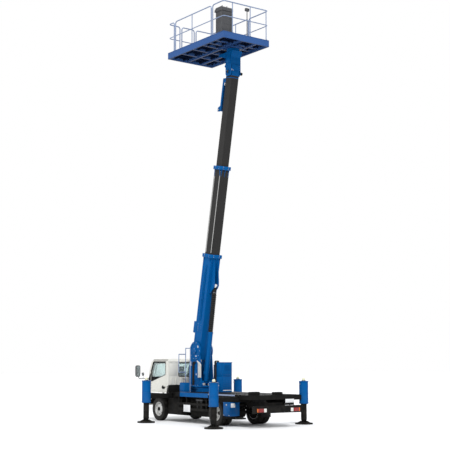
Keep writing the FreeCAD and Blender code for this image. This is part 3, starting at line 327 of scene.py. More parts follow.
class Stock:
    """Metal, rubber or plastic being built up into one piece."""

    def __init__(self):
        self.mesh = bmesh.new()

    def take(self, part, matrix=None):
        """Adds a bmesh, its faces turned outwards, and frees it."""
        if matrix is not None:
            part.transform(matrix)
        bmesh.ops.recalc_face_normals(part, faces=part.faces)
        held = bpy.data.meshes.new("held")
        part.to_mesh(held)
        part.free()
        self.mesh.from_mesh(held)
        bpy.data.meshes.remove(held)
        return self

    def add_mesh(self, mesh, matrix=None):
        """Adds a finished mesh."""
        copy = mesh.copy()
        if matrix is not None:
            copy.transform(matrix)
        self.mesh.from_mesh(copy)
        bpy.data.meshes.remove(copy)
        return self

    def box(self, low, high, bevel=0.004, matrix=None, segments=2):
        """A block with its edges eased."""
        part = bmesh.new()
        bmesh.ops.create_cube(part, size=1)
        low, high = Vector(low), Vector(high)
        size = high - low
        part.transform(at((low + high) / 2) @ Matrix.Diagonal((*size, 1)))
        ease = min(bevel, min(size) * 0.45)
        bmesh.ops.bevel(
            part, geom=list(part.edges), offset=ease, segments=segments, affect="EDGES", profile=0.5
        )
        return self.take(part, matrix)

    def twin(self, low, high, bevel=0.004, matrix=None, segments=2):
        """A block on the left and its like on the right; y is given for the left one."""
        for side in (1, -1):
            near, far = sorted((side * low[1], side * high[1]))
            self.box((low[0], near, low[2]), (high[0], far, high[2]), bevel, matrix, segments)
        return self

    def lathe(self, profile, centre=(0, 0, 0), axis=UP, steps=32, closed=False):
        """A profile of (radius, height) corners turned about an axis; a zero radius closes an end."""
        part = bmesh.new()
        rings = []
        for radius, height in profile:
            if radius < 1e-6:
                rings.append([part.verts.new((0, 0, height))])
                continue
            turns = [2 * math.pi * step / steps for step in range(steps)]
            rings.append(
                [part.verts.new((radius * math.cos(t), radius * math.sin(t), height)) for t in turns]
            )
        for lower, upper in self.neighbours(rings, closed):
            for step in range(steps):
                on = (step + 1) % steps
                a = [lower[step], lower[on]] if len(lower) > 1 else [lower[0]]
                b = [upper[on], upper[step]] if len(upper) > 1 else [upper[0]]
                if len(a) + len(b) > 2:
                    part.faces.new(a + b)
        if not closed:
            for ring in (rings[0], rings[-1]):
                if len(ring) > 1:
                    part.faces.new(ring)
        return self.take(part, stood(centre, axis))

    @staticmethod
    def neighbours(rings, closed):
        """Each ring with the next, and the last with the first where the rings close."""
        return list(zip(rings, rings[1:])) + ([(rings[-1], rings[0])] if closed else [])

    def rod(self, start, end, radius, steps=20, ease=0.15):
        """A straight round bar with eased ends."""
        start, end = Vector(start), Vector(end)
        long = (end - start).length
        trim = min(radius * ease, long * 0.3)
        flank = [(radius, trim), (radius, long - trim)]
        profile = [(0, 0), (radius - trim, 0), *flank, (radius - trim, long), (0, long)]
        return self.lathe(profile, start, end - start, steps)

    def tube(self, path, radius, sides=10, closed=False):
        """A round bar along a path."""
        path = [Vector(p) for p in path]
        part = bmesh.new()
        count = len(path)
        rings = []
        normal = None
        for index, point in enumerate(path):
            before = path[index - 1] if (index or closed) else point
            after = path[(index + 1) % count] if (index < count - 1 or closed) else point
            way = (after - before).normalized()
            if normal is None:
                normal = way.orthogonal().normalized()
            normal = (normal - way * normal.dot(way)).normalized()
            other = way.cross(normal)
            turns = [2 * math.pi * step / sides for step in range(sides)]
            outs = [(normal * math.cos(t) + other * math.sin(t)) * radius for t in turns]
            rings.append([part.verts.new(point + out) for out in outs])
        for lower, upper in self.neighbours(rings, closed):
            for step in range(sides):
                on = (step + 1) % sides
                part.faces.new((lower[step], lower[on], upper[on], upper[step]))
        if not closed:
            part.faces.new(rings[0])
            part.faces.new(rings[-1])
        return self.take(part)

    def plate(self, corners, thick, way, matrix=None):
        """A flat plate with a given outline, thickened along a way."""
        part = bmesh.new()
        part.faces.new([part.verts.new(Vector(c)) for c in corners])
        pulled = bmesh.ops.extrude_face_region(part, geom=list(part.faces))
        moved = [v for v in pulled["geom"] if isinstance(v, bmesh.types.BMVert)]
        bmesh.ops.translate(part, vec=Vector(way).normalized() * thick, verts=moved)
        return self.take(part, matrix)

    def plain(self, name):
        """Its mesh, with nothing left in the Stock."""
        made = bpy.data.meshes.new(name)
        self.mesh.to_mesh(made)
        self.mesh.free()
        return made

    def done(self, name, body, finish, replaced=(), slot=None, sharp=35):
        """The finished piece, riding on its body; its slot, given or found from its finish, is worked out but
        not kept.
        """
        made = self.plain(name)
        made.shade_smooth()
        made.set_sharp_from_angle(angle=math.radians(sharp))
        made.materials.clear()
        made.materials.append(finish)
        item = bpy.data.objects.new(name, made)
        bpy.context.collection.objects.link(item)
        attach(item, body)
        slot or SLOT_OF[finish.name]
        if replaced:
            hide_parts(*replaced)
        return item


# ---------------------------------------------------------------- repeats


def repeat_tree():
    """Copies of a part, each moved a step and turned about Z from the one before."""
    tree = bpy.data.node_groups.new("repeat_part", "GeometryNodeTree")
    sockets = (
        ("Part", "Geometry"), ("Count", "Int"), ("Step", "Vector"), ("Turn", "Float"), ("Finish", "Material")
    )
    for name, kind in sockets:
        tree.interface.new_socket(name, in_out="INPUT", socket_type=f"NodeSocket{kind}")
    tree.interface.new_socket("Row", in_out="OUTPUT", socket_type="NodeSocketGeometry")
    new, link = tree.nodes.new, tree.links.new
    given, out = new("NodeGroupInput"), new("NodeGroupOutput")
    points, number = new("GeometryNodePoints"), new("GeometryNodeInputIndex")
    shift, turn = new("ShaderNodeVectorMath"), new("ShaderNodeMath")
    shift.operation, turn.operation = "SCALE", "MULTIPLY"
    spin = new("ShaderNodeCombineXYZ")
    copies, real = new("GeometryNodeInstanceOnPoints"), new("GeometryNodeRealizeInstances")
    painted = new("GeometryNodeSetMaterial")
    for source, output, target, name in (
        (given, "Count", points, "Count"),
        (given, "Step", shift, 0),
        (number, 0, shift, "Scale"),
        (shift, 0, points, "Position"),
        (number, 0, turn, 0),
        (given, "Turn", turn, 1),
        (turn, 0, spin, "Z"),
        (points, 0, copies, "Points"),
        (given, "Part", copies, "Instance"),
        (spin, 0, copies, "Rotation"),
        (copies, 0, real, 0),
        (real, 0, painted, 0),
        (given, "Finish", painted, "Material"),
        (painted, 0, out, 0),
    ):
        link(source.outputs[output], target.inputs[name])
    return tree


REPEAT = repeat_tree()


def repeated(stock, count, step=(0, 0, 0), turn=0.0, finish=STEEL):
    """A plain mesh of count copies of what a Stock holds."""
    holder = bpy.data.objects.new("unit", stock.plain("unit"))
    bpy.context.collection.objects.link(holder)
    live = holder.modifiers.new("repeat", "NODES")
    live.node_group = REPEAT
    sockets = {s.name: s.identifier for s in REPEAT.interface.items_tree if s.in_out == "INPUT"}
    live[sockets["Count"]] = count
    live[sockets["Step"]] = tuple(step)
    live[sockets["Turn"]] = turn
    live[sockets["Finish"]] = finish
    graph = bpy.context.evaluated_depsgraph_get()
    row = bpy.data.meshes.new_from_object(holder.evaluated_get(graph), depsgraph=graph)
    bpy.data.objects.remove(holder)
    return row


def repeated_sheet(stock, across, step, down, drop, finish):
    """Rows of copies: so many across at one step, and so many down at another."""
    row = repeated(stock, across, step, finish=finish)
    return Stock().add_mesh(repeated(Stock().add_mesh(row), down, drop, finish=finish))


def nut(radius, tall):
    """A hexagon nut with its stud, standing on the origin."""
    part = Stock().lathe(
        [(0, 0), (radius, 0), (radius, tall * 0.8), (radius * 0.8, tall), (0, tall)], steps=6
    )
    return part.lathe(boss(radius * 0.5, radius * 0.5, tall * 1.35), steps=10)


def nut_ring(count, ring, centre, axis, radius, tall):
    """A ring of nuts round a centre, standing up along an axis, and its place."""
    one = nut(radius, tall)
    one.mesh.transform(at((ring, 0, 0)))
    return repeated(one, count, turn=2 * math.pi / count), stood(centre, axis)


def nut_row(count, start, step, axis, radius=0.010, tall=0.007):
    """A straight row of nuts, and its place."""
    one = nut(radius, tall)
    one.mesh.transform(facing(axis))
    return repeated(one, count, step), at(start)


# ---------------------------------------------------------------- CAD nodes' finishes

# a name that ends in an underscore stands for every node that starts with it
FINISHES = (
    (PEDESTAL, ("subframe",)),
    (BLUE, ("turret", "boom_base", "neck", "tool_box", "power_cabinet", "lift_barrel", "jack_arm_")),
    (BLUE, ("level_barrel", "level_bars")),
    (DECK_BLUE, ("deck_floor",)),
    (RAIL, ("deck_rails", "control_stand")),
    (DARK, ("boom_mid", "boom_top")),
    (BLACK, ("chassis_frame", "front_axle", "rear_axle", "rear_bar", "mudguards", "jack_sleeves")),
    (BLACK, ("side_guards", "battery_box", "fuel_tank", "flat_bed", "deck_rests", "knuckle_", "jack_leg_")),
    (IVORY, ("cab_shell", "door_left", "door_right", "front_bumper")),
    (TYRE, ("tyre_",)),
    (SILVER, ("rim_",)),
    (GLASS, ("cab_glass", "door_glass_")),
    (CHROME, ("lift_rod", "level_rod")),
    (FABRIC, ("cab_seats",)),
    (PLASTIC, ("dashboard", "steering_wheel", "deck_console")),
    (PALE_PLASTIC, ("mirrors",)),
    (RED, ("tail_lamps",)),
    (CLEAR, ("headlamps",)),
    (IRON, ("engine_block",)),
)
for finish, names in FINISHES:
    for name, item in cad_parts.items():
        if any(name == wanted or (wanted.endswith("_") and name.startswith(wanted)) for wanted in names):
            for place in item.material_slots:
                place.material = finish

# ---------------------------------------------------------------- wheels

HUB_HEIGHT = 0.372
TREAD_ROWS = (-0.062, -0.0215, 0.0215, 0.062)
TREAD_LUGS = 48
HALF_TYRE = [
    (0.2255, 0.074), (0.238, 0.088), (0.262, 0.0935), (0.266, 0.0950), (0.270, 0.0937), (0.312, 0.0942),
    (0.316, 0.0950), (0.320, 0.0938), (0.342, 0.0905), (0.356, 0.083), (0.3590, 0.070),
]
FRONT_DISC = [
    (0.224, 0.075), (0.212, 0.075), (0.208, 0.040), (0.190, 0.024), (0.150, 0.046), (0.112, 0.060),
    (0.061, 0.060), (0.061, 0.053), (0.110, 0.053), (0.147, 0.039), (0.188, 0.016), (0.207, 0.010),
    (0.211, -0.075), (0.224, -0.075),
]
REAR_DISC = [
    (0.224, 0.190), (0.212, 0.190), (0.208, 0.060), (0.190, 0.018), (0.150, 0.006), (0.061, 0.006),
    (0.061, -0.004), (0.150, -0.004), (0.192, 0.006), (0.206, 0.004), (0.211, -0.190), (0.224, -0.190),
]
FRONT_CAP = [(0, 0), (0.058, 0), (0.057, 0.022), (0.040, 0.030), (0, 0.033)]
REAR_CAP = [(0, 0), (0.075, 0), (0.072, 0.018), (0.058, 0.020), (0.056, 0.066), (0.046, 0.074), (0, 0.076)]


def tyre(stock, centre, side):
    """One truck tyre: ribbed flanks, grooves and offset tread blocks."""
    profile = HALF_TYRE + [(radius, -out) for radius, out in reversed(HALF_TYRE)]
    axis = (0, side, 0)
    stock.lathe(profile, centre, axis, 64, closed=True)
    for number, out in enumerate(TREAD_ROWS):
        lug = Stock().box((0.352, -0.0185, out - 0.0165), (0.3712, 0.0185, out + 0.0165), 0.002, segments=1)
        lug.mesh.transform(Matrix.Rotation(math.pi / TREAD_LUGS * (number % 2), 4, "Z"))
        row = repeated(lug, TREAD_LUGS, turn=2 * math.pi / TREAD_LUGS, finish=TYRE)
        stock.add_mesh(row, stood(centre, axis))


def pierced(stock, cutters):
    """What a Stock holds, less its cutters."""
    held = []
    for label, source in (("blank", stock), ("cutters", cutters)):
        item = bpy.data.objects.new(label, source.plain(label))
        bpy.context.collection.objects.link(item)
        held.append(item)
    blank, tool = held
    cut = blank.modifiers.new("cut", "BOOLEAN")
    cut.operation, cut.solver, cut.object = "DIFFERENCE", "EXACT", tool
    graph = bpy.context.evaluated_depsgraph_get()
    result = bpy.data.meshes.new_from_object(blank.evaluated_get(graph), depsgraph=graph)
    for item in held:
        bpy.data.objects.remove(item)
    return Stock().add_mesh(result)


def wheel_disc(profile, ring, size, holes=8):
    """A pressed wheel with a ring of hand holes."""
    blank = Stock().lathe(profile, steps=64, closed=True)
    bore = Stock().lathe([(0, -0.2), (size, -0.2), (size, 0.2), (0, 0.2)], steps=20)
    bore.mesh.transform(at((ring, 0, 0)) @ Matrix.Diagonal((0.72, 1.15, 1, 1)))
    return pierced(blank, Stock().add_mesh(repeated(bore, holes, turn=2 * math.pi / holes)))


def wheels():
    """Tyres and pierced wheels with their nuts; the twin rear wheels turn as one."""
    # end, ahead, out, tyres, disc, hole ring, hole, nut face, nut radius, nut height, hub cap
    rows = (
        ("front", 3.350, 0.705, (0,), FRONT_DISC, 0.168, 0.026, 0.060, 0.014, 0.016, FRONT_CAP),
        ("rear", 0, 0.7175, (-0.115, 0.115), REAR_DISC, 0.170, 0.022, 0.006, 0.015, 0.018, REAR_CAP),
    )
    for hand, side in SIDES:
        axis = Vector((0, side, 0))
        for end, along, out, offsets, disc, ring, hole, face, nut_size, nut_tall, cap in rows:
            centre = ahead(along, side * out, HUB_HEIGHT)
            body = f"wheel_{end}_{hand}"
            tread = Stock()
            for offset in offsets:
                tyre(tread, centre + axis * offset, side)
            tread.done(f"road_tyre_{end}_{hand}", body, TYRE, (f"tyre_{end}_{hand}",))
            rim = wheel_disc(disc, ring, hole)
            rim.mesh.transform(stood(centre, axis))
            rim.done(f"disc_{end}_{hand}", body, SILVER, (f"rim_{end}_{hand}",))
            nuts = Stock().add_mesh(*nut_ring(6, 0.088, centre + axis * face, axis, nut_size, nut_tall))
            nuts.done(f"wheel_nuts_{end}_{hand}", body, STEEL, slot="wheel_silver")
            hub = Stock().lathe(cap, centre + axis * face, axis)
            if end == "rear":
                hub.add_mesh(*nut_ring(8, 0.064, centre + axis * 0.024, axis, 0.006, 0.005))
            hub.done(f"hub_cap_{end}_{hand}", body, BLACK)


# ---------------------------------------------------------------- jacks

JACK_TOP = 1.315
JACK_RADIUS = 0.140


def jack_places():
    """Each jack's name, side and the middle of its tube at floor height."""
    for end, middle, swap in (("front", 2.490, 1), ("rear", -1.013, -1)):
        for hand, side in SIDES:
            yield f"{end}_{hand}", side, ahead(middle + 0.065 * side * swap, side * 1.765, 0)


def jacks():
    """Tubes, beams, fittings, seals, lamps and ribbed pads of the four jacks."""
    casing = [(JACK_RADIUS, 0.625), (JACK_RADIUS, 1.312), (0.137, JACK_TOP), (0, JACK_TOP)]
    casing += [(0, 1.300), (0.096, 1.300), (0.096, 0.625)]
    foot_seat = [(0, 0), (0.062, 0), (0.062, 0.016), (0.050, 0.020), (0, 0.020)]
    wiper = [(0.0915, 0), (0.112, 0.002), (0.116, 0.010), (0.112, 0.018), (0.0915, 0.020)]
    bulb = [(0, 0), (0.047, 0), (0.049, 0.030), (0.044, 0.058), (0.030, 0.078), (0.012, 0.086), (0, 0.087)]
    lip = [(0.258, 0.0), (0.2748, 0.003), (0.2748, 0.036), (0.266, 0.040), (0.258, 0.034)]
    rib_outline = (0.084, -0.005, 0.060), (0.238, -0.005, 0.030), (0.084, -0.005, 0.110)
    for name, side, foot in jack_places():
        arm, leg = f"jack_arm_{name}", f"jack_leg_{name}"
        tube = Stock()
        for low, tall, out in ((1.287, 0.022, 0.012), (0.629, 0.028, 0.010), (0.935, 0.010, 0.006)):
            tube.lathe(collar(0.138, JACK_RADIUS + out, 0, tall, 0.002), foot + UP * low, UP, 40, closed=True)
        tube.lathe(casing, foot, UP, 48, closed=True)
        tube.done(f"jack_tube_{name}", arm, BLUE, (arm,))
        low, high = sorted((side * 0.510, side * 1.628))
        beam = Stock().box((foot.x - 0.052, low, 0.753), (foot.x + 0.052, high, 0.899), 0.008)
        beam.done(f"jack_beam_{name}", arm, BLACK, (arm,))

        inwards = Vector((0, -side, 0))
        ferrule = foot + inwards * 0.139 + UP * 1.225
        bolts = Stock().add_mesh(*nut_ring(8, 0.118, foot + UP * JACK_TOP, UP, 0.009, 0.008))
        bolts.rod(ferrule, ferrule + inwards * 0.045, 0.014, 12)
        bolts.done(f"jack_fittings_{name}", arm, STEEL)
        seal = Stock().lathe(foot_seat, foot + UP * JACK_TOP, UP)
        seal.lathe(wiper, foot + UP * 0.607, UP, 36, closed=True)
        seal.done(f"jack_seals_{name}", arm, BELLOWS)
        dome = Stock().lathe(bulb, foot + UP * (JACK_TOP + 0.018), UP, 28)
        dome.done(f"jack_lamp_{name}", arm, PALE, sharp=60)

        rib = Stock().plate(rib_outline, 0.010, (0, 1, 0))
        pad = Stock().add_mesh(repeated(rib, 8, turn=math.pi / 4), at(foot))
        pad.lathe(lip, foot, UP, 48, closed=True)
        pad.rod(foot + Vector((-0.095, 0, 0.118)), foot + Vector((0.095, 0, 0.118)), 0.016, 14)
        pad.done(f"jack_pad_ribs_{name}", leg, BLACK)


# ---------------------------------------------------------------- chassis


def rear_end():
    """The tail lamps and their bezels, the flaps behind the rear wheels and the blank plates."""
    back = -2.985
    # finish, name, inner edge, outer edge
    for finish, name, inner, outer in (
        (AMBER, "turn_lamps", 0.765, 0.805),
        (RED, "stop_lamps", 0.560, 0.757),
        (CLEAR, "reverse_lamps", 0.458, 0.552),
    ):
        lamp = Stock().twin((back - 0.030, inner, 0.462), (back + 0.002, outer, 0.568), 0.010, segments=3)
        lamp.done(name, "chassis", finish, ("tail_lamps",))
    bezel = Stock().twin((back - 0.012, 0.450, 0.455), (back + 0.002, 0.810, 0.575), 0.006)
    for side in (1, -1):
        bezel.rod((-2.60, side * 0.40, 0.735), (-2.60, side * 0.40, 0.808), 0.020, 16)
    bezel.box((-2.905, -0.664, 0.645), (-2.893, -0.326, 0.828), 0.003)
    bezel.rod((-2.890, -0.51, 0.600), (-2.890, -0.51, 0.660), 0.010, 12)
    bezel.twin((-1.535, 0.500, 0.220), (-1.527, 0.880, 0.556), 0.003)
    bezel.done("bezels_and_flaps", "chassis", HOSE)
    plates = Stock()
    plates.box((-2.910, -0.660, 0.715), (-2.9045, -0.330, 0.822), 0.003)
    plates.box((0.290, 0.8755, 0.350), (0.652, 0.8790, 0.565), 0.0015)
    plates.box((-1.9030, 0.770, 0.565), (-1.8965, 0.925, 0.690), 0.002)
    plates.done("blank_plates", "chassis", WHITE)


def boxes_and_tank():
    """The tool box's door and lid, the latches and the fuel tank's straps and cap."""
    tool = Stock()
    tool.box((-1.882, 0.9485, 0.330), (-1.560, 0.9560, 0.690), 0.004)
    tool.box((-1.8990, 0.592, 0.694), (-1.543, 0.9600, 0.716), 0.005)
    tool.done("tool_box_door", "chassis", BLUE)
    latch = Stock().box((-1.745, 0.955, 0.625), (-1.695, 0.966, 0.665), 0.003)
    for x in (-1.85, -1.59):
        latch.rod((x - 0.025, 0.960, 0.338), (x + 0.025, 0.960, 0.338), 0.007, 12)
    for x in (-1.60, -1.52):
        latch.rod((x, 0.30, 0.86), (x, 0.34, 0.86), 0.010, 10)
    latch.done("latches", "chassis", STEEL)

    straps = Stock()
    # y and z at both ends of each run round the tank
    runs = (
        (-0.3795, 0.705, -0.8055, 0.705),
        (-0.8055, 0.705, -0.8055, 0.3245),
        (-0.8055, 0.3245, -0.3795, 0.3245),
    )
    for x in (-0.215, 0.245):
        for y0, z0, y1, z1 in runs:
            low = (x, min(y0, y1) - 0.003, min(z0, z1) - 0.003)
            straps.box(low, (x + 0.045, max(y0, y1) + 0.003, max(z0, z1) + 0.003), 0.002)
    filler = [(0, 0), (0.042, 0), (0.042, 0.026), (0.036, 0.034), (0, 0.034)]
    straps.lathe(filler, (0.32, -0.72, 0.700), UP, 28)
    straps.done("tank_straps", "chassis", STEEL)


def drive_line():
    """The drive shaft with its joints, the silencer, its pipe and hangers, and the battery box's lid."""
    shaft = Stock().rod((-0.965, 0, 0.405), (1.745, 0, 0.560), 0.040, 20)
    for x, z in ((-0.950, 0.406), (1.700, 0.557), (0.40, 0.483)):
        shaft.rod((x - 0.035, 0, z), (x + 0.035, 0, z + 0.004), 0.058, 20)
    shaft.rod((1.50, -0.33, 0.40), (1.05, -0.33, 0.40), 0.085, 28)
    shaft.rod((0.70, -0.26, 0.505), (0.70, 0.26, 0.505), 0.022, 12)
    pipe = [(1.06, -0.33, 0.40), (0.62, -0.33, 0.40), (0.50, -0.50, 0.38), (0.50, -0.80, 0.36)]
    shaft.tube(rounded_path(pipe, 0.09), 0.028, 14)
    shaft.rod((1.28, -0.33, 0.46), (1.28, -0.33, 0.552), 0.012, 10)
    shaft.rod((0.66, -0.33, 0.425), (0.66, -0.33, 0.552), 0.010, 10)
    shaft.done("drive_shaft_and_exhaust", "chassis", IRON)
    battery = Stock().box((-0.240, 0.436, 0.700), (0.110, 0.785, 0.7445), 0.008)
    for x in (-0.18, 0.03):
        battery.box((x, 0.7785, 0.44), (x + 0.022, 0.7860, 0.715), 0.003)
    battery.done("battery_lid", "chassis", PLASTIC)


def bed():
    """The bed's edge bands, the shields below it, its grip studs and rests, and the bolts of the rails."""
    edge = Stock().twin((-0.700, 0.899, 0.815), (0.830, 0.9035, 0.9440), 0.001, segments=1)
    edge.done("bed_edge_band", "chassis", BLUE)
    strip = Stock().twin((-2.060, 0.900, 0.905), (-0.710, 0.9045, 0.9440), 0.001, segments=1)
    strip.done("pale_edge_strip", "chassis", RAIL)
    shield = Stock().twin((-0.640, 0.362, 0.405), (0.990, 0.372, 0.800), 0.002)
    shield.twin((1.000, 0.690, 0.225), (1.790, 0.698, 0.740), 0.002)
    # two more black panels on the left side only, reaching down to 0.19 m above the floor
    shield.box((-0.640, 0.362, 0.190), (1.180, 0.372, 0.450), 0.002)
    shield.box((0.980, 0.362, 0.190), (1.780, 0.372, 0.620), 0.002)
    shield.done("frame_shields", "chassis", BLACK)

    stud = Stock().box((-0.012, -0.004, 0), (0.012, 0.004, 0.0022), 0.001, segments=1)
    studs = repeated_sheet(stud, 40, (0.050, 0, 0), 26, (0, 0.066, 0), BLACK)
    studs.mesh.transform(at((-2.860, -0.825, 0.945)))
    studs.done("bed_studs", "chassis", BLACK)
    rests = Stock()
    for y0, y1, top in ((0.560, 0.880, 1.035), (-0.300, 0.0, 1.015)):
        rests.box((-2.811, y0 + 0.004, top - 0.001), (-2.679, y1 - 0.004, top + 0.012), 0.005)
    rests.done("rest_pads", "chassis", BELLOWS)
    seams = Stock()
    for side in (1, -1):
        seams.add_mesh(*nut_row(14, (-2.62, side * 0.351, 0.600), (0.36, 0, 0), (0, side, 0), 0.011, 0.008))
    seams.done("rail_bolts", "chassis", STEEL)
    bumper = Stock().twin((3.008, 0.48, 0.560), (3.0148, 0.68, 0.640), 0.004)
    bumper.box((3.006, -0.36, 0.520), (3.0148, 0.36, 0.600), 0.004)
    bumper.done("bumper_openings", "chassis", BLACK)


# ---------------------------------------------------------------- deck

DECK_X = (REAR - 0.590, REAR + 2.515)
DECK_Y = (-0.750, 1.060)
DECK_LOW, DECK_GRIP, DECK_FOOT, RAIL_MIDDLE, RAIL_TOP = 11.871, 12.0625, 12.085, 12.580, 13.060


def hoop(stock, plan, posts=()):
    """One rail section: a top rail bent down to feet at both ends, its middle rail and its posts."""
    path = [(*plan[0], DECK_FOOT)] + [(x, y, RAIL_TOP) for x, y in plan] + [(*plan[-1], DECK_FOOT)]
    stock.tube(rounded_path(path, 0.085, steps=8), 0.019, 14)
    stock.tube(rounded_path([(x, y, RAIL_MIDDLE) for x, y in plan], 0.085, steps=8), 0.0155, 12)
    for x, y in posts:
        stock.rod((x, y, DECK_FOOT - 0.002), (x, y, RAIL_TOP), 0.0155, 14)
    for x, y in (plan[0], plan[-1], *posts):
        stock.box((x - 0.036, y - 0.018, DECK_FOOT - 0.001), (x + 0.036, y + 0.018, DECK_FOOT + 0.008), 0.002)


def deck_rails():
    """The four corner and side hoops and the gate's hoop."""
    inset = 0.022
    rear, front = DECK_X[0] + inset, DECK_X[1] - inset
    right, left = DECK_Y[0] + inset, DECK_Y[1] - inset
    rails = Stock()
    for y, inner, split in ((left, 0.601, -1.030), (right, -0.058, -0.649)):
        hoop(rails, ((1.065, y), (front, y), (front, inner)))
        hoop(rails, ((split, y), (0.990, y)), ((0.034, y),))
    corners = ((-1.105, left), (rear, left), (rear, right), (-0.691, right))
    hoop(rails, corners, ((rear, 0.693), (rear, -0.008), (rear, -0.650)))
    hoop(rails, ((front, 0.523), (front, 0.020)))
    rails.done("rail_hoops", "deck", RAIL, ("deck_rails",))


def deck_floor():
    """The lattice under the floor, the rim's lips and the grip studs."""
    bar = Stock().box((-0.014, DECK_Y[0] + 0.04, 0), (0.014, DECK_Y[1] - 0.04, 0.055), 0.002, segments=1)
    beam = Stock().box((DECK_X[0] + 0.04, -0.018, 0), (DECK_X[1] - 0.04, 0.018, 0.075), 0.002, segments=1)
    lattice = Stock().add_mesh(repeated(bar, 16, (0.190, 0, 0)), at((DECK_X[0] + 0.14, 0, DECK_LOW + 0.078)))
    lattice.add_mesh(repeated(beam, 5, (0, 0.330, 0)), at((0, DECK_Y[0] + 0.220, DECK_LOW + 0.045)))
    # the lattice wears the navy darkened as painted shade
    lattice.done("deck_lattice", "deck", SHADED_NAVY)
    lips = Stock()
    for low in (DECK_LOW + 0.001, DECK_LOW + 0.195):
        high = low + 0.018
        lips.box(
            (DECK_X[0] - 0.004, DECK_Y[0], low), (DECK_X[0] + 0.002, DECK_Y[1], high), 0.0015, segments=1
        )
        lips.box(
            (DECK_X[0], DECK_Y[1] - 0.002, low), (DECK_X[1], DECK_Y[1] + 0.004, high), 0.0015, segments=1
        )
    lips.done("rim_lips", "deck", DECK_BLUE)
    stud = Stock().lathe(boss(0.011, 0.008, 0.003), steps=8)
    studs = repeated_sheet(stud, 50, (0.058, 0, 0), 27, (0, 0.060, 0), DECK_BLUE)
    studs.mesh.transform(at((DECK_X[0] + 0.13, DECK_Y[0] + 0.09, DECK_GRIP)))
    studs.done("deck_grip_studs", "deck", DECK_BLUE)


def deck_console():
    """Joysticks, ribs, a plinth and knobs on the console, and the plug's post."""
    low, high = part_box("deck_console")
    gaiter = [(0, 0), (0.030, 0), (0.024, 0.016), (0.012, 0.026), (0, 0.026)]
    ball = [(0, 0), (0.014, 0.004), (0.017, 0.013), (0.011, 0.024), (0, 0.026)]
    console = Stock()
    for y in (low.y + 0.12, low.y + 0.30):
        root = Vector((low.x + 0.16, y, high.z - 0.004))
        console.lathe(gaiter, root, UP, 18)
        console.rod(root, root + Vector((0.010, 0, 0.070)), 0.006, 10)
        console.lathe(ball, root + Vector((0.010, 0, 0.064)), UP, 16)
    for z in (12.16, 12.44, 12.72):
        console.box((low.x + 0.016, low.y + 0.04, z), (low.x + 0.022, high.y - 0.04, z + 0.010), 0.002)
    console.box((low.x + 0.012, low.y + 0.012, 12.058), (low.x + 0.358, high.y - 0.012, 12.097), 0.004)
    console.done("console_controls", "deck", PLASTIC)
    knobs = Stock()
    for y in (low.y + 0.10, low.y + 0.18, low.y + 0.26, low.y + 0.34):
        knobs.lathe(
            [(0, 0), (0.013, 0), (0.011, 0.009), (0, 0.011)], (low.x + 0.27, y, high.z - 0.002), UP, 16
        )
    knobs.done("console_knobs", "deck", AMBER)
    post = Stock().rod((-1.600, 0.054, DECK_FOOT - 0.03), (-1.600, 0.054, 12.92), 0.014, 14)
    post.box((-1.640, -0.020, 12.915), (-1.560, 0.128, 13.015), 0.022, segments=4)
    post.done("plug_post", "deck", PLASTIC)


# ---------------------------------------------------------------- boom

LUFF = ahead(2.050, 0, 2.250)
BOOM = at(LUFF) @ Matrix.Rotation(math.radians(-11), 4, "Y")
# half depth, half width and end of each section
BASE = (0.210, 0.185, 3.150)
MID = (0.176, 0.165, 6.000)
NECK_PIN = BOOM @ Vector((0, 0, 9.030))
BAR_PIN = Vector((0.420, 0, 7.820))
FIN_FOOT, FIN_TIP, FIN_OUT = 0.112, 0.34, 0.030


def section(stock, rings):
    """A hollow box section through (half depth, half width, distance along) rings, closed on itself."""
    part = bmesh.new()
    loops = []
    for deep, wide, along in rings:
        corners = ((deep, wide), (-deep, wide), (-deep, -wide), (deep, -wide))
        loops.append([part.verts.new((x, y, along)) for x, y in corners])
    for lower, upper in zip(loops, loops[1:] + loops[:1]):
        for step in range(4):
            on = (step + 1) % 4
            part.faces.new((lower[step], lower[on], upper[on], upper[step]))
    bmesh.ops.bevel(part, geom=list(part.edges), offset=0.003, segments=2, affect="EDGES", profile=0.5)
    return stock.take(part, BOOM)


def finned_collar(stock, deep, wide, end):
    """A collar's outer skin with a lip at each end, and the fins that brace it back to its section."""
    low, high = end - 0.113, end + 0.003
    outer, inner = (deep + 0.033, wide + 0.033), (deep + 0.004, wide + 0.004)
    section(stock, ((*outer, low), (*outer, high), (*inner, high), (*inner, low)))
    foot, tip = end - FIN_FOOT, end - FIN_TIP
    for way in (1, -1):
        for y in (-wide + 0.020, 0, wide - 0.030):
            root = way * deep
            corners = ((root, y, foot), (root + way * FIN_OUT, y, foot), (root, y, tip))
            stock.plate(corners, 0.010, (0, 1, 0), BOOM)
        for x in (-deep + 0.030, deep - 0.040):
            root = way * wide
            corners = ((x, root, foot), (x, root + way * FIN_OUT, foot), (x, root, tip))
            stock.plate(corners, 0.010, (1, 0, 0), BOOM)


def pad_bolts(stock, deep, wide, end):
    """The screws that set the wear pads in a collar."""
    step = (0, 0, 0.050)
    for way in (1, -1):
        for share in (-0.6, 0.6):
            for place, axis in (
                ((share * deep, way * (wide + 0.032), end - 0.080), (0, way, 0)),
                ((way * (deep + 0.032), share * wide, end - 0.080), (way, 0, 0)),
            ):
                row, spot = nut_row(2, place, step, axis)
                stock.add_mesh(row, BOOM @ spot)


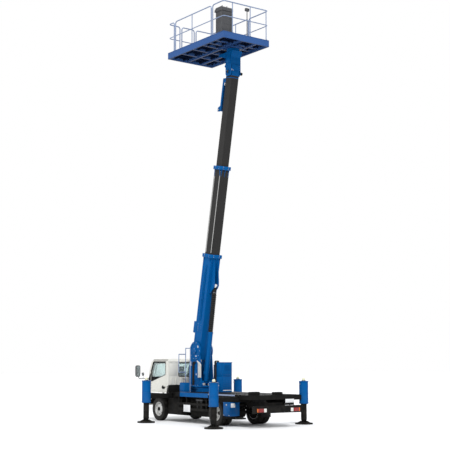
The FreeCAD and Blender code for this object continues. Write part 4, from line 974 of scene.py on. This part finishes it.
def base_section():
    """Collar, fins, covers, fixings and pipes on the lowest section."""
    blue = Stock()
    finned_collar(blue, *BASE)
    blue.twin((-0.200, 0.185, 0.15), (-0.150, 0.190, 2.95), 0.002, BOOM)
    blue.twin((0.150, 0.185, 0.15), (0.200, 0.190, 2.95), 0.002, BOOM)
    blue.twin((-0.090, 0.185, 0.62), (0.090, 0.190, 0.90), 0.002, BOOM)
    blue.box((0.209, 0.020, 0.55), (0.330, 0.180, 0.92), 0.006, BOOM)
    blue.done("base_collar_and_covers", "boom_base", BLUE)
    fixed = Stock()
    pad_bolts(fixed, *BASE)
    for way in (1, -1):
        for x in (-0.075, 0.075):
            row, place = nut_row(4, (x, way * 0.190, 0.645), (0, 0, 0.076), (0, way, 0), 0.007, 0.005)
            fixed.add_mesh(row, BOOM @ place)
    fixed.done("base_fixings", "boom_base", STEEL)
    pipes = Stock()
    for x, end in ((-0.035, 2.80), (0.0, 2.68), (0.035, 2.56)):
        pipes.tube([BOOM @ Vector((x, 0.197, along)) for along in (1.00, end)], 0.0105, 10)
    for along in (1.15, 1.70, 2.25):
        pipes.box((-0.056, 0.185, along), (0.056, 0.212, along + 0.030), 0.003, BOOM)
    pipes.done("base_pipes", "boom_base", BLUE)


def mid_section():
    """Collar, fins and wear strips on the middle section."""
    mid = Stock()
    finned_collar(mid, *MID)
    mid.done("mid_collar_band", "boom_mid", BLUE)
    strips = Stock()
    for x in (-0.160, 0.128):
        strips.twin((x, 0.1648, 3.20), (x + 0.032, 0.1660, 5.85), 0.0005, BOOM, 1)
    pad_bolts(strips, *MID)
    strips.done("mid_wear_strips", "boom_mid", STEEL)


def head_and_neck():
    """The top section's head and bosses, the level pins, and the neck's caps, fixings and ribs."""
    head = Stock().box((-0.1458, -0.1408, 8.921), (0.1458, 0.1408, 9.089), 0.001, BOOM)
    head.box((-0.1452, -0.1402, 8.84), (0.1452, 0.1402, 8.862), 0.002, BOOM)
    pins = Stock()
    across = (0, 1, 0)
    for boss_y, pin_y in ((0.104, 0.110), (-0.110, -0.122)):
        head.lathe(boss(0.052, 0.052, 0.006), BOOM @ (BAR_PIN + Vector((0, boss_y, 0))), across, 24)
        pins.lathe(boss(0.028, 0.026, 0.012), BOOM @ (BAR_PIN + Vector((0, pin_y, 0))), across, 20)
    head.done("head_and_bar_bosses", "boom_top", BLUE)
    pins.done("level_pins", "boom_top", STEEL)

    x, z = NECK_PIN.x, NECK_PIN.z
    caps = Stock()
    for way, out in ((1, 0.010), (-1, 0.130)):
        profile = [(0, 0), (0.050, 0), (0.048, out), (0.020, out + 0.004), (0, out + 0.004)]
        caps.lathe(profile, NECK_PIN + Vector((0, way * 0.220, 0)), (0, way, 0), 28)
    caps.done("neck_pin_caps", "neck", BLACK)
    fixed = Stock()
    fixed.add_mesh(*nut_ring(6, 0.036, NECK_PIN + Vector((0, 0.230, 0)), across, 0.007, 0.005))
    fixed.add_mesh(*nut_ring(16, 0.192, NECK_PIN + UP * 0.663, UP, 0.010, 0.010))
    fixed.done("neck_fixings", "neck", STEEL)
    ribs = Stock()
    for out in (-0.130, 0.120):
        ribs.twin((x + out, 0.190, z + 0.24), (x + out + 0.012, 0.200, z + 0.58), 0.002)
    ribs.twin((x - 0.095, 0.190, z + 0.30), (x + 0.095, 0.200, z + 0.52))
    ribs.box((x - 0.176, -0.168, z + 0.030), (x - 0.163, 0.168, z + 0.220), 0.002)
    for low, high in ((-0.166, -0.110), (-0.052, 0.052), (0.110, 0.166)):
        ribs.box((x - 0.148, low, z + 0.165), (x + 0.148, high, z + 0.216), 0.003)
    ribs.done("neck_ribs", "neck", BLUE)


def lift_cylinder():
    """Bellows, rod cover, gland, ports and pipe on the lift cylinder."""
    foot, eye = Vector((0.685, 0, 1.250)), Vector((0.183375, 0, 4.334888))
    way = (eye - foot).normalized()
    low, pitch = 1.622, 0.031
    profile = [(0.058, low)]
    profile += [(0.082 if fold % 2 == 0 else 0.064, low + 0.008 + fold * pitch) for fold in range(40)]
    profile += [(0.064, 2.860), (0.064, 2.880), (0.0515, 2.882), (0.0515, low)]
    folds = Stock().lathe(profile, foot, way, 28, closed=True)
    sleeve = folds.done("lift_bellows", "lift_barrel", BELLOWS, sharp=25)
    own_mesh(sleeve)
    cover = Stock().lathe(
        [(0.046, 2.885), (0.056, 2.887), (0.056, 3.055), (0.046, 3.058)], foot, way, 28, closed=True
    )
    cover.done("lift_rod_cover", "lift_rod", BELLOWS)
    gland = Stock()
    for along, radius, tall in ((1.560, 0.087, 0.055), (0.110, 0.085, 0.030)):
        gland.lathe(collar(0.078, radius, along, tall, 0.003), foot, way, 36, closed=True)
    gland.box((-0.118, -0.030, 0.24), (-0.070, 0.030, 0.34), 0.005, stood(foot, way))
    gland.done("lift_gland", "lift_barrel", BLUE)
    path = [stood(foot, way) @ Vector(p) for p in ((-0.096, 0, 0.34), (-0.096, 0, 1.50), (-0.080, 0, 1.53))]
    pipe = Stock().tube(rounded_path(path, 0.02), 0.009, 10)
    pipe.done("lift_pipe", "lift_barrel", BLUE)


def level_cylinder():
    """Gland, ports and pipe on the levelling cylinder."""
    root = BOOM @ BAR_PIN
    line = (NECK_PIN + Vector((0.300, 0, 0.260)) - root).normalized()
    place = stood(root, line)
    gland = Stock()
    for along, radius, tall in ((0.745, 0.049, 0.050), (0.075, 0.048, 0.025)):
        gland.lathe(collar(0.043, radius, along, tall, 0.002), root, line, 28, closed=True)
    for along in (0.13, 0.64):
        gland.box((0.040, -0.020, along), (0.072, 0.020, along + 0.06), 0.004, place)
    gland.done("level_gland", "level_barrel", BLUE)
    pipe = Stock().tube([place @ Vector((0.060, 0.0, along)) for along in (0.19, 0.64)], 0.007, 10)
    pipe.done("level_pipe", "level_barrel", HOSE)


# ---------------------------------------------------------------- turret and ground controls

CHEEK = 0.245  # the outer face of the turret's cheeks


def turret():
    """Pivot covers, ribs, a rear plate and rings of bolts on the turret."""
    x = LUFF.x
    pivot = [(0, 0), (0.088, 0), (0.086, 0.008), (0.050, 0.016), (0, 0.016)]
    blue, bolts = Stock(), Stock()
    bolts.add_mesh(*nut_ring(28, 0.392, (x, 0, 1.150), UP, 0.011, 0.012))
    for way in (1, -1):
        axis = Vector((0, way, 0))
        skirt = [(0.235, 0), (0.290, 0), (0.290, 0.010), (0.235, 0.010)]
        blue.lathe(skirt, LUFF + axis * CHEEK, axis, 48, closed=True)
        blue.lathe(pivot, LUFF + axis * 0.270, axis, 36)
        bolts.add_mesh(*nut_ring(10, 0.262, LUFF + axis * 0.255, axis, 0.011, 0.008))
        bolts.add_mesh(*nut_ring(4, 0.062, LUFF + axis * 0.278, axis, 0.009, 0.008))
    for rib in (x - 0.26, x + 0.22):
        blue.twin((rib, CHEEK, 1.152), (rib + 0.014, 0.257, 1.92), 0.002)
    blue.twin((x - 0.36, CHEEK, 1.152), (x + 0.30, 0.257, 1.176), 0.002)
    for low in (CHEEK, -0.257):
        blue.box((x - 0.10, low, 1.30), (x + 0.14, low + 0.008, 1.62), 0.003)
    blue.box((x - 0.440, -0.257, 1.20), (x - 0.340, -CHEEK, 1.80), 0.002)
    blue.done("turret_ribs_and_covers", "turret", BLUE)
    bolts.done("turret_bolts", "turret", STEEL)


def turret_fittings():
    """Rigid lines, white spots, the bundle and the valve trays on the turret."""
    x = LUFF.x
    lines = Stock()
    for number in range(4):
        at_x = x + 0.030 + 0.028 * number
        path = [(at_x, 0.263, 1.163), (at_x, 0.263, 1.80 + 0.03 * number), (at_x - 0.09, 0.263, 1.90)]
        lines.tube(rounded_path(path, 0.05), 0.0115, 10)
    for z in (1.26, 1.70):
        lines.box((x + 0.012, CHEEK, z), (x + 0.132, 0.268, z + 0.030), 0.003)
    lines.done("turret_lines", "turret", HOSE)
    # rear, front, foot and top of each plate, and the face that it lies on
    # small white patches on the turret's cheek and sides
    plates = Stock()
    for x0, x1, z0, z1, y in (
        (0.755, 0.800, 2.350, 2.440, 0.2445),
        (0.850, 0.920, 2.068, 2.096, 0.2445),
        (1.140, 1.172, 1.770, 1.910, 0.2560),
        (1.000, 1.068, 1.470, 1.530, 0.2520),
        (0.845, 0.875, 1.475, 1.530, 0.2520),
    ):
        plates.box((x0, y, z0), (x1, y + 0.004, z1), 0.001, segments=1)
    plates.done("turret_white_spots", "turret", WHITE)
    bundle = Stock()
    for number in range(4):
        at_x, bend = x - 0.345 + number * 0.044, 1.80 + 0.02 * number
        path = [(at_x, 0.264, 1.40), (at_x, 0.264, bend), (at_x + 0.07, 0.264, bend + 0.07)]
        bundle.tube(rounded_path(path, 0.05), 0.018, 12)
    bundle.done("turret_bundle", "turret", SILVER)
    tray = Stock().twin((x - 0.335, 0.075, 1.151), (x - 0.155, 0.180, 1.225), 0.008)
    tray.done("turret_valve_trays", "turret", SILVER)


def ground_controls():
    """Levers, knobs, panels and a lid on the ground control box."""
    low, high = ahead(1.870, 0.560, 0.945), ahead(2.130, 0.780, 1.240)
    box = Stock().box((low.x - 0.004, low.y - 0.004, 1.222), (high.x + 0.004, high.y + 0.004, 1.244), 0.006)
    box.box((low.x - 0.0015, low.y - 0.0015, 0.952), (high.x + 0.0015, high.y + 0.0015, 1.230))
    box.box((low.x - 0.002, low.y + 0.02, 1.00), (low.x + 0.002, high.y - 0.02, 1.19), 0.0015, segments=1)
    box.box((low.x + 0.02, high.y - 0.002, 1.00), (high.x - 0.02, high.y + 0.002, 1.19), 0.0015, segments=1)
    box.done("control_box_lid", "chassis", BLUE)
    knob = [(0, 0), (0.010, 0.003), (0.013, 0.014), (0.009, 0.026), (0, 0.029)]
    levers = Stock()
    for number in range(5):
        root = Vector((low.x + 0.035 + number * 0.047, low.y + 0.10, high.z))
        levers.rod(root, root + Vector((0, 0.02, 0.110)), 0.005, 10)
        levers.lathe(knob, root + Vector((0, 0.02, 0.105)), (0, 0.18, 1), 14)
        levers.lathe(boss(0.014, 0.008, 0.014), root, UP, 14)
    levers.done("control_levers", "chassis", PLASTIC)


def cabinet():
    """Doors, louvres, hinges, lines and rows of blue buttons on the power cabinet."""
    low, high = ahead(1.070, -0.505, 0.945), ahead(1.470, -0.120, 1.880)
    blue = Stock()
    for foot, top in ((0.985, 1.42), (1.45, 1.84)):
        blue.box((low.x + 0.02, high.y - 0.002, foot), (high.x - 0.02, high.y + 0.005, top), 0.003)
        blue.box((low.x - 0.005, low.y + 0.02, foot), (low.x + 0.002, high.y - 0.02, top), 0.003)
    louvre = Stock().box((0, 0, 0), (0.008, 0.24, 0.010), 0.002, segments=1)
    blue.add_mesh(repeated(louvre, 9, (0, 0, 0.022)), at((low.x - 0.011, low.y + 0.07, 1.62)))
    blue.box((low.x - 0.006, low.y - 0.006, 1.865), (high.x + 0.006, high.y + 0.006, 1.888), 0.006)
    blue.done("cabinet_doors", "chassis", BLUE)
    hinges = Stock()
    for z in (1.05, 1.36, 1.52, 1.78):
        hinges.rod(
            (low.x + 0.016, high.y + 0.008, z - 0.03), (low.x + 0.016, high.y + 0.008, z + 0.03), 0.007, 12
        )
    for z in (1.20, 1.67):
        hinges.box(
            (high.x - 0.06, high.y + 0.004, z - 0.035), (high.x - 0.04, high.y + 0.014, z + 0.035), 0.003
        )
    hinges.done("cabinet_hinges", "chassis", BLUE)
    button = Stock().lathe(boss(0.011, 0.009, 0.006), (0, 0, 0), (-1, 0, 0), 12)
    dots = repeated_sheet(button, 6, (0, 0.056, 0), 9, (0, 0, 0.058), DECK_BLUE)
    dots.mesh.transform(at((low.x - 0.004, low.y + 0.052, 1.04)))
    dots.done("cabinet_buttons", "chassis", DECK_BLUE)
    strip = Stock().box((low.x - 0.006, low.y + 0.03, 0.993), (low.x + 0.001, high.y - 0.03, 1.016), 0.001)
    strip.done("cabinet_foot_strip", "chassis", WHITE)
    loom = Stock()
    for number in range(3):
        x, out, over = high.x - 0.030 - number * 0.034, high.y + 0.024, high.y - 0.080
        path = [(x, out, 0.952), (x, out, 1.925), (x, over, 1.925), (x, over, high.z)]
        loom.tube(rounded_path(path, 0.035), 0.015, 12)
    loom.done("cabinet_lines", "chassis", HOSE)


# ---------------------------------------------------------------- cab

WINDOW = ((2.865, 1.490), (2.865, 1.877), (3.552, 1.877), (3.664, 1.620), (3.664, 1.270))
FLANK = 0.850  # the cab's side


def outline(points, y, grow):
    """A window's corners at one side, moved outwards from their middle."""
    middle = Vector((sum(x for x, z in points) / len(points), sum(z for x, z in points) / len(points)))
    spread = []
    for point in points:
        away = Vector(point) - middle
        away += away.normalized() * grow
        spread.append(ahead(middle.x + away.x, y, middle.y + away.y))
    return spread


def doors():
    """Window seals and black frames, mouldings, pulls and hinges' caps on both doors."""
    across = (0, 1, 0)
    for hand, side in SIDES:
        body, face = f"door_{hand}", side * FLANK
        seal = Stock().tube(rounded_path(outline(WINDOW, face, 0.012), 0.040, True), 0.009, 8, True)
        seal.tube(rounded_path(outline(WINDOW, face, 0.018)[1:], 0.060), 0.021, 10)
        near = min(face + side * 0.001, face + side * 0.006)
        seal.plate(
            [ahead(3.668, near, 1.262), ahead(3.668, near, 1.412), ahead(3.170, near, 1.412)], 0.005, across
        )
        seal.done(f"window_seal_{hand}", body, BLACK)
        low, high = sorted((face, face + side * 0.004))
        skin = Stock()
        for foot, top in ((0.985, 0.998), (1.215, 1.226)):
            skin.box(ahead(2.815, low, foot), ahead(3.690, high, top), 0.0015)
        skin.done(f"door_mouldings_{hand}", body, IVORY)
        out = face + side * 0.034
        bow = [ahead(x, y, 1.080) for x, y in ((2.905, face), (2.905, out), (3.035, out), (3.035, face))]
        grip = Stock().tube(rounded_path(bow, 0.014), 0.009, 10)
        low = min(face, face + side * 0.007)
        oval = [ahead(x, low, z) for x, z in ((2.880, 1.025), (3.060, 1.025), (3.060, 1.135), (2.880, 1.135))]
        grip.plate(rounded_path(oval, 0.050, True), 0.007, across)
        grip.lathe(boss(0.013, 0.012, 0.006), ahead(2.840, face, 1.080), (0, side, 0), 18)
        grip.done(f"door_pull_{hand}", body, BLACK, slot="trim_plastic")
        caps = Stock()
        for z in (1.040, 1.115, 1.510, 1.585):
            caps.rod(ahead(3.717, side * 0.868, z - 0.004), ahead(3.717, side * 0.868, z + 0.004), 0.015, 14)
        caps.done(f"hinge_caps_{hand}", body, STEEL)


SCREEN_FOOT, SCREEN_HEAD = Vector((3.960, 1.330)), Vector((3.690, 1.900))


def on_screen(share, y, lift):
    """A point on the windscreen: its share of the way up, its place across and its height off the glass."""
    slope = SCREEN_HEAD - SCREEN_FOOT
    normal = Vector((slope.y, -slope.x)).normalized()
    point = SCREEN_FOOT + slope * share + normal * lift
    return ahead(point.x, y, point.y)


def cab_trim():
    """Window seals, black corners, roof strips, sills, vents, grille, wipers and lamp boxes on the cab, and
    black plates painted as shade at the foot of its rear.
    """
    across = (0, 1, 0)
    ring = [on_screen(up, y, 0.002) for up, y in ((0.06, -0.60), (0.06, 0.60), (0.94, 0.60), (0.94, -0.60))]
    seals = Stock().tube(rounded_path(ring, 0.06, True), 0.013, 8, True)
    rear = [ahead(2.678, y, z) for y, z in ((-0.462, 1.428), (0.462, 1.428), (0.462, 1.872), (-0.462, 1.872))]
    seals.tube(rounded_path(rear, 0.05, True), 0.011, 8, True)
    seals.done("screen_seals", "cab", BLACK)

    black = Stock()
    for side in (1, -1):
        low, high = sorted((side * 0.8495, side * 0.853))
        thick = high - low
        black.plate(
            [ahead(3.735, low, 1.260), ahead(3.905, low, 1.260), ahead(3.735, low, 1.620)], thick, across
        )
        # painted shade: a black triangle at the rear foot of each side, where the cab's underside falls in
        # shade
        black.plate(
            [ahead(2.680, low, 0.888), ahead(2.800, low, 0.888), ahead(2.690, low, 1.160)], thick, across
        )
        black.box(ahead(2.700, low, 1.952), ahead(3.560, high + 0.006, 1.966), 0.002)
        black.box(ahead(2.690, low, 0.838), ahead(3.900, high, 0.888), 0.001)
        for z in (1.00, 1.05, 1.10):
            black.box(ahead(2.708, low, z), ahead(2.775, high, z + 0.018), 0.0015)
    # painted shade: a black sheet over the foot of the rear wall, for the shaded opening below it
    black.box(ahead(2.668, -0.848, 0.840), ahead(2.681, 0.848, 1.160), 0.002)
    black.box(ahead(4.012, -0.56, 1.165), ahead(4.0235, 0.56, 1.215), 0.003)
    for number in range(4):
        z = 0.975 + number * 0.042
        black.box(ahead(4.014, -0.375, z), ahead(4.0225, 0.375, z + 0.022), 0.003)
    for y in (-0.42, 0.06):
        wiper = [
            on_screen(0.03, y, 0.018), on_screen(0.10, y + 0.03, 0.026), on_screen(0.14, y + 0.34, 0.024)
        ]
        black.tube(rounded_path(wiper, 0.02), 0.006, 8)
        black.tube([on_screen(0.13, y - 0.02, 0.016), on_screen(0.145, y + 0.42, 0.016)], 0.007, 8)
    black.twin(ahead(4.014, 0.400, 0.968), ahead(4.030, 0.660, 1.152), 0.006)
    black.done("cab_black_trim_and_painted_shade", "cab", BLACK)


def cab_pressings():
    """Pressed ribs on the cab's rear wall and roof, and the corner lamps."""
    ribs = Stock()
    for number in range(9):
        y = -0.74 + number * 0.185
        for low, high in ((1.175, 1.395), (1.885, 1.915)):
            ribs.box(ahead(2.664, y - 0.022, low), ahead(2.682, y + 0.022, high), 0.006)
    ribs.twin(ahead(2.675, 0.515, 1.46), ahead(2.682, 0.815, 1.84), 0.003)
    ribs.box(ahead(2.90, -0.62, 1.9835), ahead(3.42, 0.62, 1.9925), 0.004)
    ribs.done("cab_pressings", "cab", IVORY)
    amber = Stock().twin(ahead(3.985, 0.645, 1.03), ahead(4.026, 0.700, 1.11), 0.008)
    amber.done("corner_lamps", "cab", AMBER)


def mirrors():
    """Rounded mirrors on their arms, with their glass."""
    heads, glass = Stock(), Stock()
    foot_cup = [(0, 0), (0.030, 0), (0.026, 0.020), (0.014, 0.030), (0, 0.030)]
    for side in (1, -1):
        low, high = sorted((side * 1.140, side * 1.310))
        for stock, inset, first, thick in ((heads, 0.0, 3.926, 0.046), (glass, 0.016, 3.9215, 0.0045)):
            near, far, foot, top = low + inset, high - inset, 1.400 + inset, 1.780 - inset
            ring = [ahead(first, y, z) for y, z in ((near, foot), (far, foot), (far, top), (near, top))]
            stock.plate(rounded_path(ring, 0.060 - inset, True), thick, (1, 0, 0))
        low, high = sorted((side * 0.980, side * 1.070))
        heads.box(ahead(3.932, low, 1.440), ahead(3.963, high, 1.540), 0.014, segments=4)
        glass.box(ahead(3.929, low + 0.008, 1.449), ahead(3.933, high - 0.008, 1.531), 0.0015)
        arm = [ahead(3.945, side * y, z) for y, z in ((0.765, 1.350), (1.188, 1.350), (1.188, 1.405))]
        heads.tube(rounded_path(arm, 0.035), 0.012, 12)
        heads.rod(ahead(3.945, side * 1.020, 1.352), ahead(3.945, side * 1.020, 1.450), 0.008, 12)
        heads.lathe(foot_cup, ahead(3.945, side * 0.778, 1.350), (0, side, 0), 20)
    heads.done("door_mirrors", "cab", PLASTIC, ("mirrors",))
    glass.done("mirror_glass", "cab", CHROME)


def cushion(low, high):
    """A crowned closed pad whose sides pull in between its corners."""
    part = bmesh.new()
    bmesh.ops.create_cube(part, size=2)
    bmesh.ops.subdivide_edges(part, edges=list(part.edges), cuts=11, use_grid_fill=True)
    middle, half = (low + high) / 2, (high - low) / 2
    thin = min(range(3), key=lambda axis: half[axis])
    wide = [axis for axis in range(3) if axis != thin]
    for vert in part.verts:
        u, v = vert.co[wide[0]], vert.co[wide[1]]
        crown = (1 - u**4) * (1 - v**4)
        seam = 0.10 * math.exp(-((abs(u) - 0.45) / 0.05) ** 2) * (1 - abs(v))
        vert.co[thin] *= 0.55 + 0.45 * crown - seam
        vert.co[wide[0]] *= 1 - 0.035 * (1 - v * v)
        vert.co[wide[1]] *= 1 - 0.035 * (1 - u * u)
    part.transform(at(middle) @ Matrix.Diagonal((*half, 1)))
    return Stock().take(part)


def seats_and_dials():
    """Seats with cushions on their plinths, and the dashboard's instruments."""
    plinths = Stock().twin(ahead(2.880, 0.150, 0.945), ahead(3.310, 0.680, 1.040), 0.012)
    plinths.done("seat_plinths", "cab", PLASTIC, ("cab_seats",))
    for hand, side in SIDES:
        low, high = sorted((side * 0.135, side * 0.695))
        for name, first, last in (
            ("cushion", ahead(2.866, low, 1.042), ahead(3.325, high, 1.176)),
            ("backrest", ahead(2.803, low, 1.020), ahead(2.858, high, 1.755)),
        ):
            pad = cushion(first, last).done(f"seat_{name}_{hand}", "cab", FABRIC, ("cab_seats",), sharp=80)

    dials = Stock()
    back = (-1, 0, 0)
    for y, radius in ((-0.47, 0.050), (-0.35, 0.050), (-0.27, 0.026)):
        bezel = [(radius * 0.86, 0), (radius, 0), (radius, 0.012), (radius * 0.86, 0.008)]
        dials.lathe(bezel, ahead(3.640, y, 1.225), back, 28, True)
    dials.box(ahead(3.634, -0.18, 1.175), ahead(3.642, 0.12, 1.270), 0.004)
    for y in (-0.12, -0.05, 0.02):
        dials.lathe([(0, 0), (0.014, 0), (0.012, 0.010), (0, 0.012)], ahead(3.634, y, 1.222), back, 16)
    dials.done("instruments", "cab", PALE_PLASTIC)


wheels()
jacks()
rear_end()
boxes_and_tank()
drive_line()
bed()
deck_rails()
deck_floor()
deck_console()
base_section()
mid_section()
head_and_neck()
lift_cylinder()
level_cylinder()
turret()
turret_fittings()
ground_controls()
cabinet()
doors()
cab_trim()
cab_pressings()
mirrors()
seats_and_dials()

# ---------------------------------------------------------------- stage and camera


def studio_world():
    """Soft cool light for the object, and white for the eye, for gloss and for glass."""
    world = bpy.data.worlds.new("studio")
    bpy.context.scene.world = world
    world.use_nodes = True
    tree = world.node_tree
    tree.nodes.clear()
    new, link = tree.nodes.new, tree.links.new
    soft, seen = new("ShaderNodeBackground"), new("ShaderNodeBackground")
    soft.inputs["Color"].default_value = (0.93, 0.96, 1.0, 1)
    soft.inputs["Strength"].default_value = 0.62
    seen.inputs["Color"].default_value = (1, 1, 1, 1)
    path, first, either = new("ShaderNodeLightPath"), new("ShaderNodeMath"), new("ShaderNodeMath")
    first.operation = either.operation = "MAXIMUM"
    mixed, out = new("ShaderNodeMixShader"), new("ShaderNodeOutputWorld")
    link(path.outputs["Is Camera Ray"], first.inputs[0])
    link(path.outputs["Is Glossy Ray"], first.inputs[1])
    link(first.outputs[0], either.inputs[0])
    link(path.outputs["Is Transmission Ray"], either.inputs[1])
    link(either.outputs[0], mixed.inputs[0])
    link(soft.outputs[0], mixed.inputs[1])
    link(seen.outputs[0], mixed.inputs[2])
    link(mixed.outputs[0], out.inputs[0])


def pale_floor(reach=90, drop=-0.002):
    """A wide flat floor."""
    sheet = bpy.data.meshes.new("floor")
    corners = [(-reach, -reach, drop), (reach, -reach, drop), (reach, reach, drop), (-reach, reach, drop)]
    sheet.from_pydata(corners, [], [(0, 1, 2, 3)])
    floor = bpy.data.objects.new("floor", sheet)
    bpy.context.collection.objects.link(floor)
    ground = bpy.data.materials.new("pale_floor")
    ground.use_nodes = True
    shader = ground.node_tree.nodes["Principled BSDF"]
    shader.inputs["Base Color"].default_value = (0.86, 0.86, 0.86, 1)
    shader.inputs["Roughness"].default_value = 0.9
    sheet.materials.append(ground)


def aimed(name, data, way):
    """A lamp or camera that looks along a way."""
    item = bpy.data.objects.new(name, data)
    item.rotation_euler = Vector(way).to_track_quat("-Z", "Y").to_euler()
    bpy.context.collection.objects.link(item)
    return item


def lamps():
    """Three wide suns."""
    # name, energy, angle, direction it shines
    for name, energy, angle, way in (
        ("key", 2.3, 14, (0.75, -0.35, -0.95)),
        ("fill", 0.9, 60, (0.1, -1.0, -0.35)),
        ("back", 0.7, 60, (-0.9, 0.8, -0.6)),
    ):
        light = bpy.data.lights.new(name, "SUN")
        light.energy = energy
        light.angle = math.radians(angle)
        aimed(name, light, way)


def camera():
    """A long lens low down, behind the machine on its left, tilted up."""
    data = bpy.data.cameras.new("camera")
    data.lens, data.sensor_width, data.clip_end = 85.04, 36, 400
    pitch = math.radians(7.108)
    way = (0.80403 * math.cos(pitch), -0.59459 * math.cos(pitch), math.sin(pitch))
    item = aimed("camera", data, way)
    item.location = (-27.379, 19.985, 2.035)
    bpy.context.scene.camera = item


studio_world()
pale_floor()
lamps()
camera()
bpy.context.scene.view_settings.view_transform = "Standard"
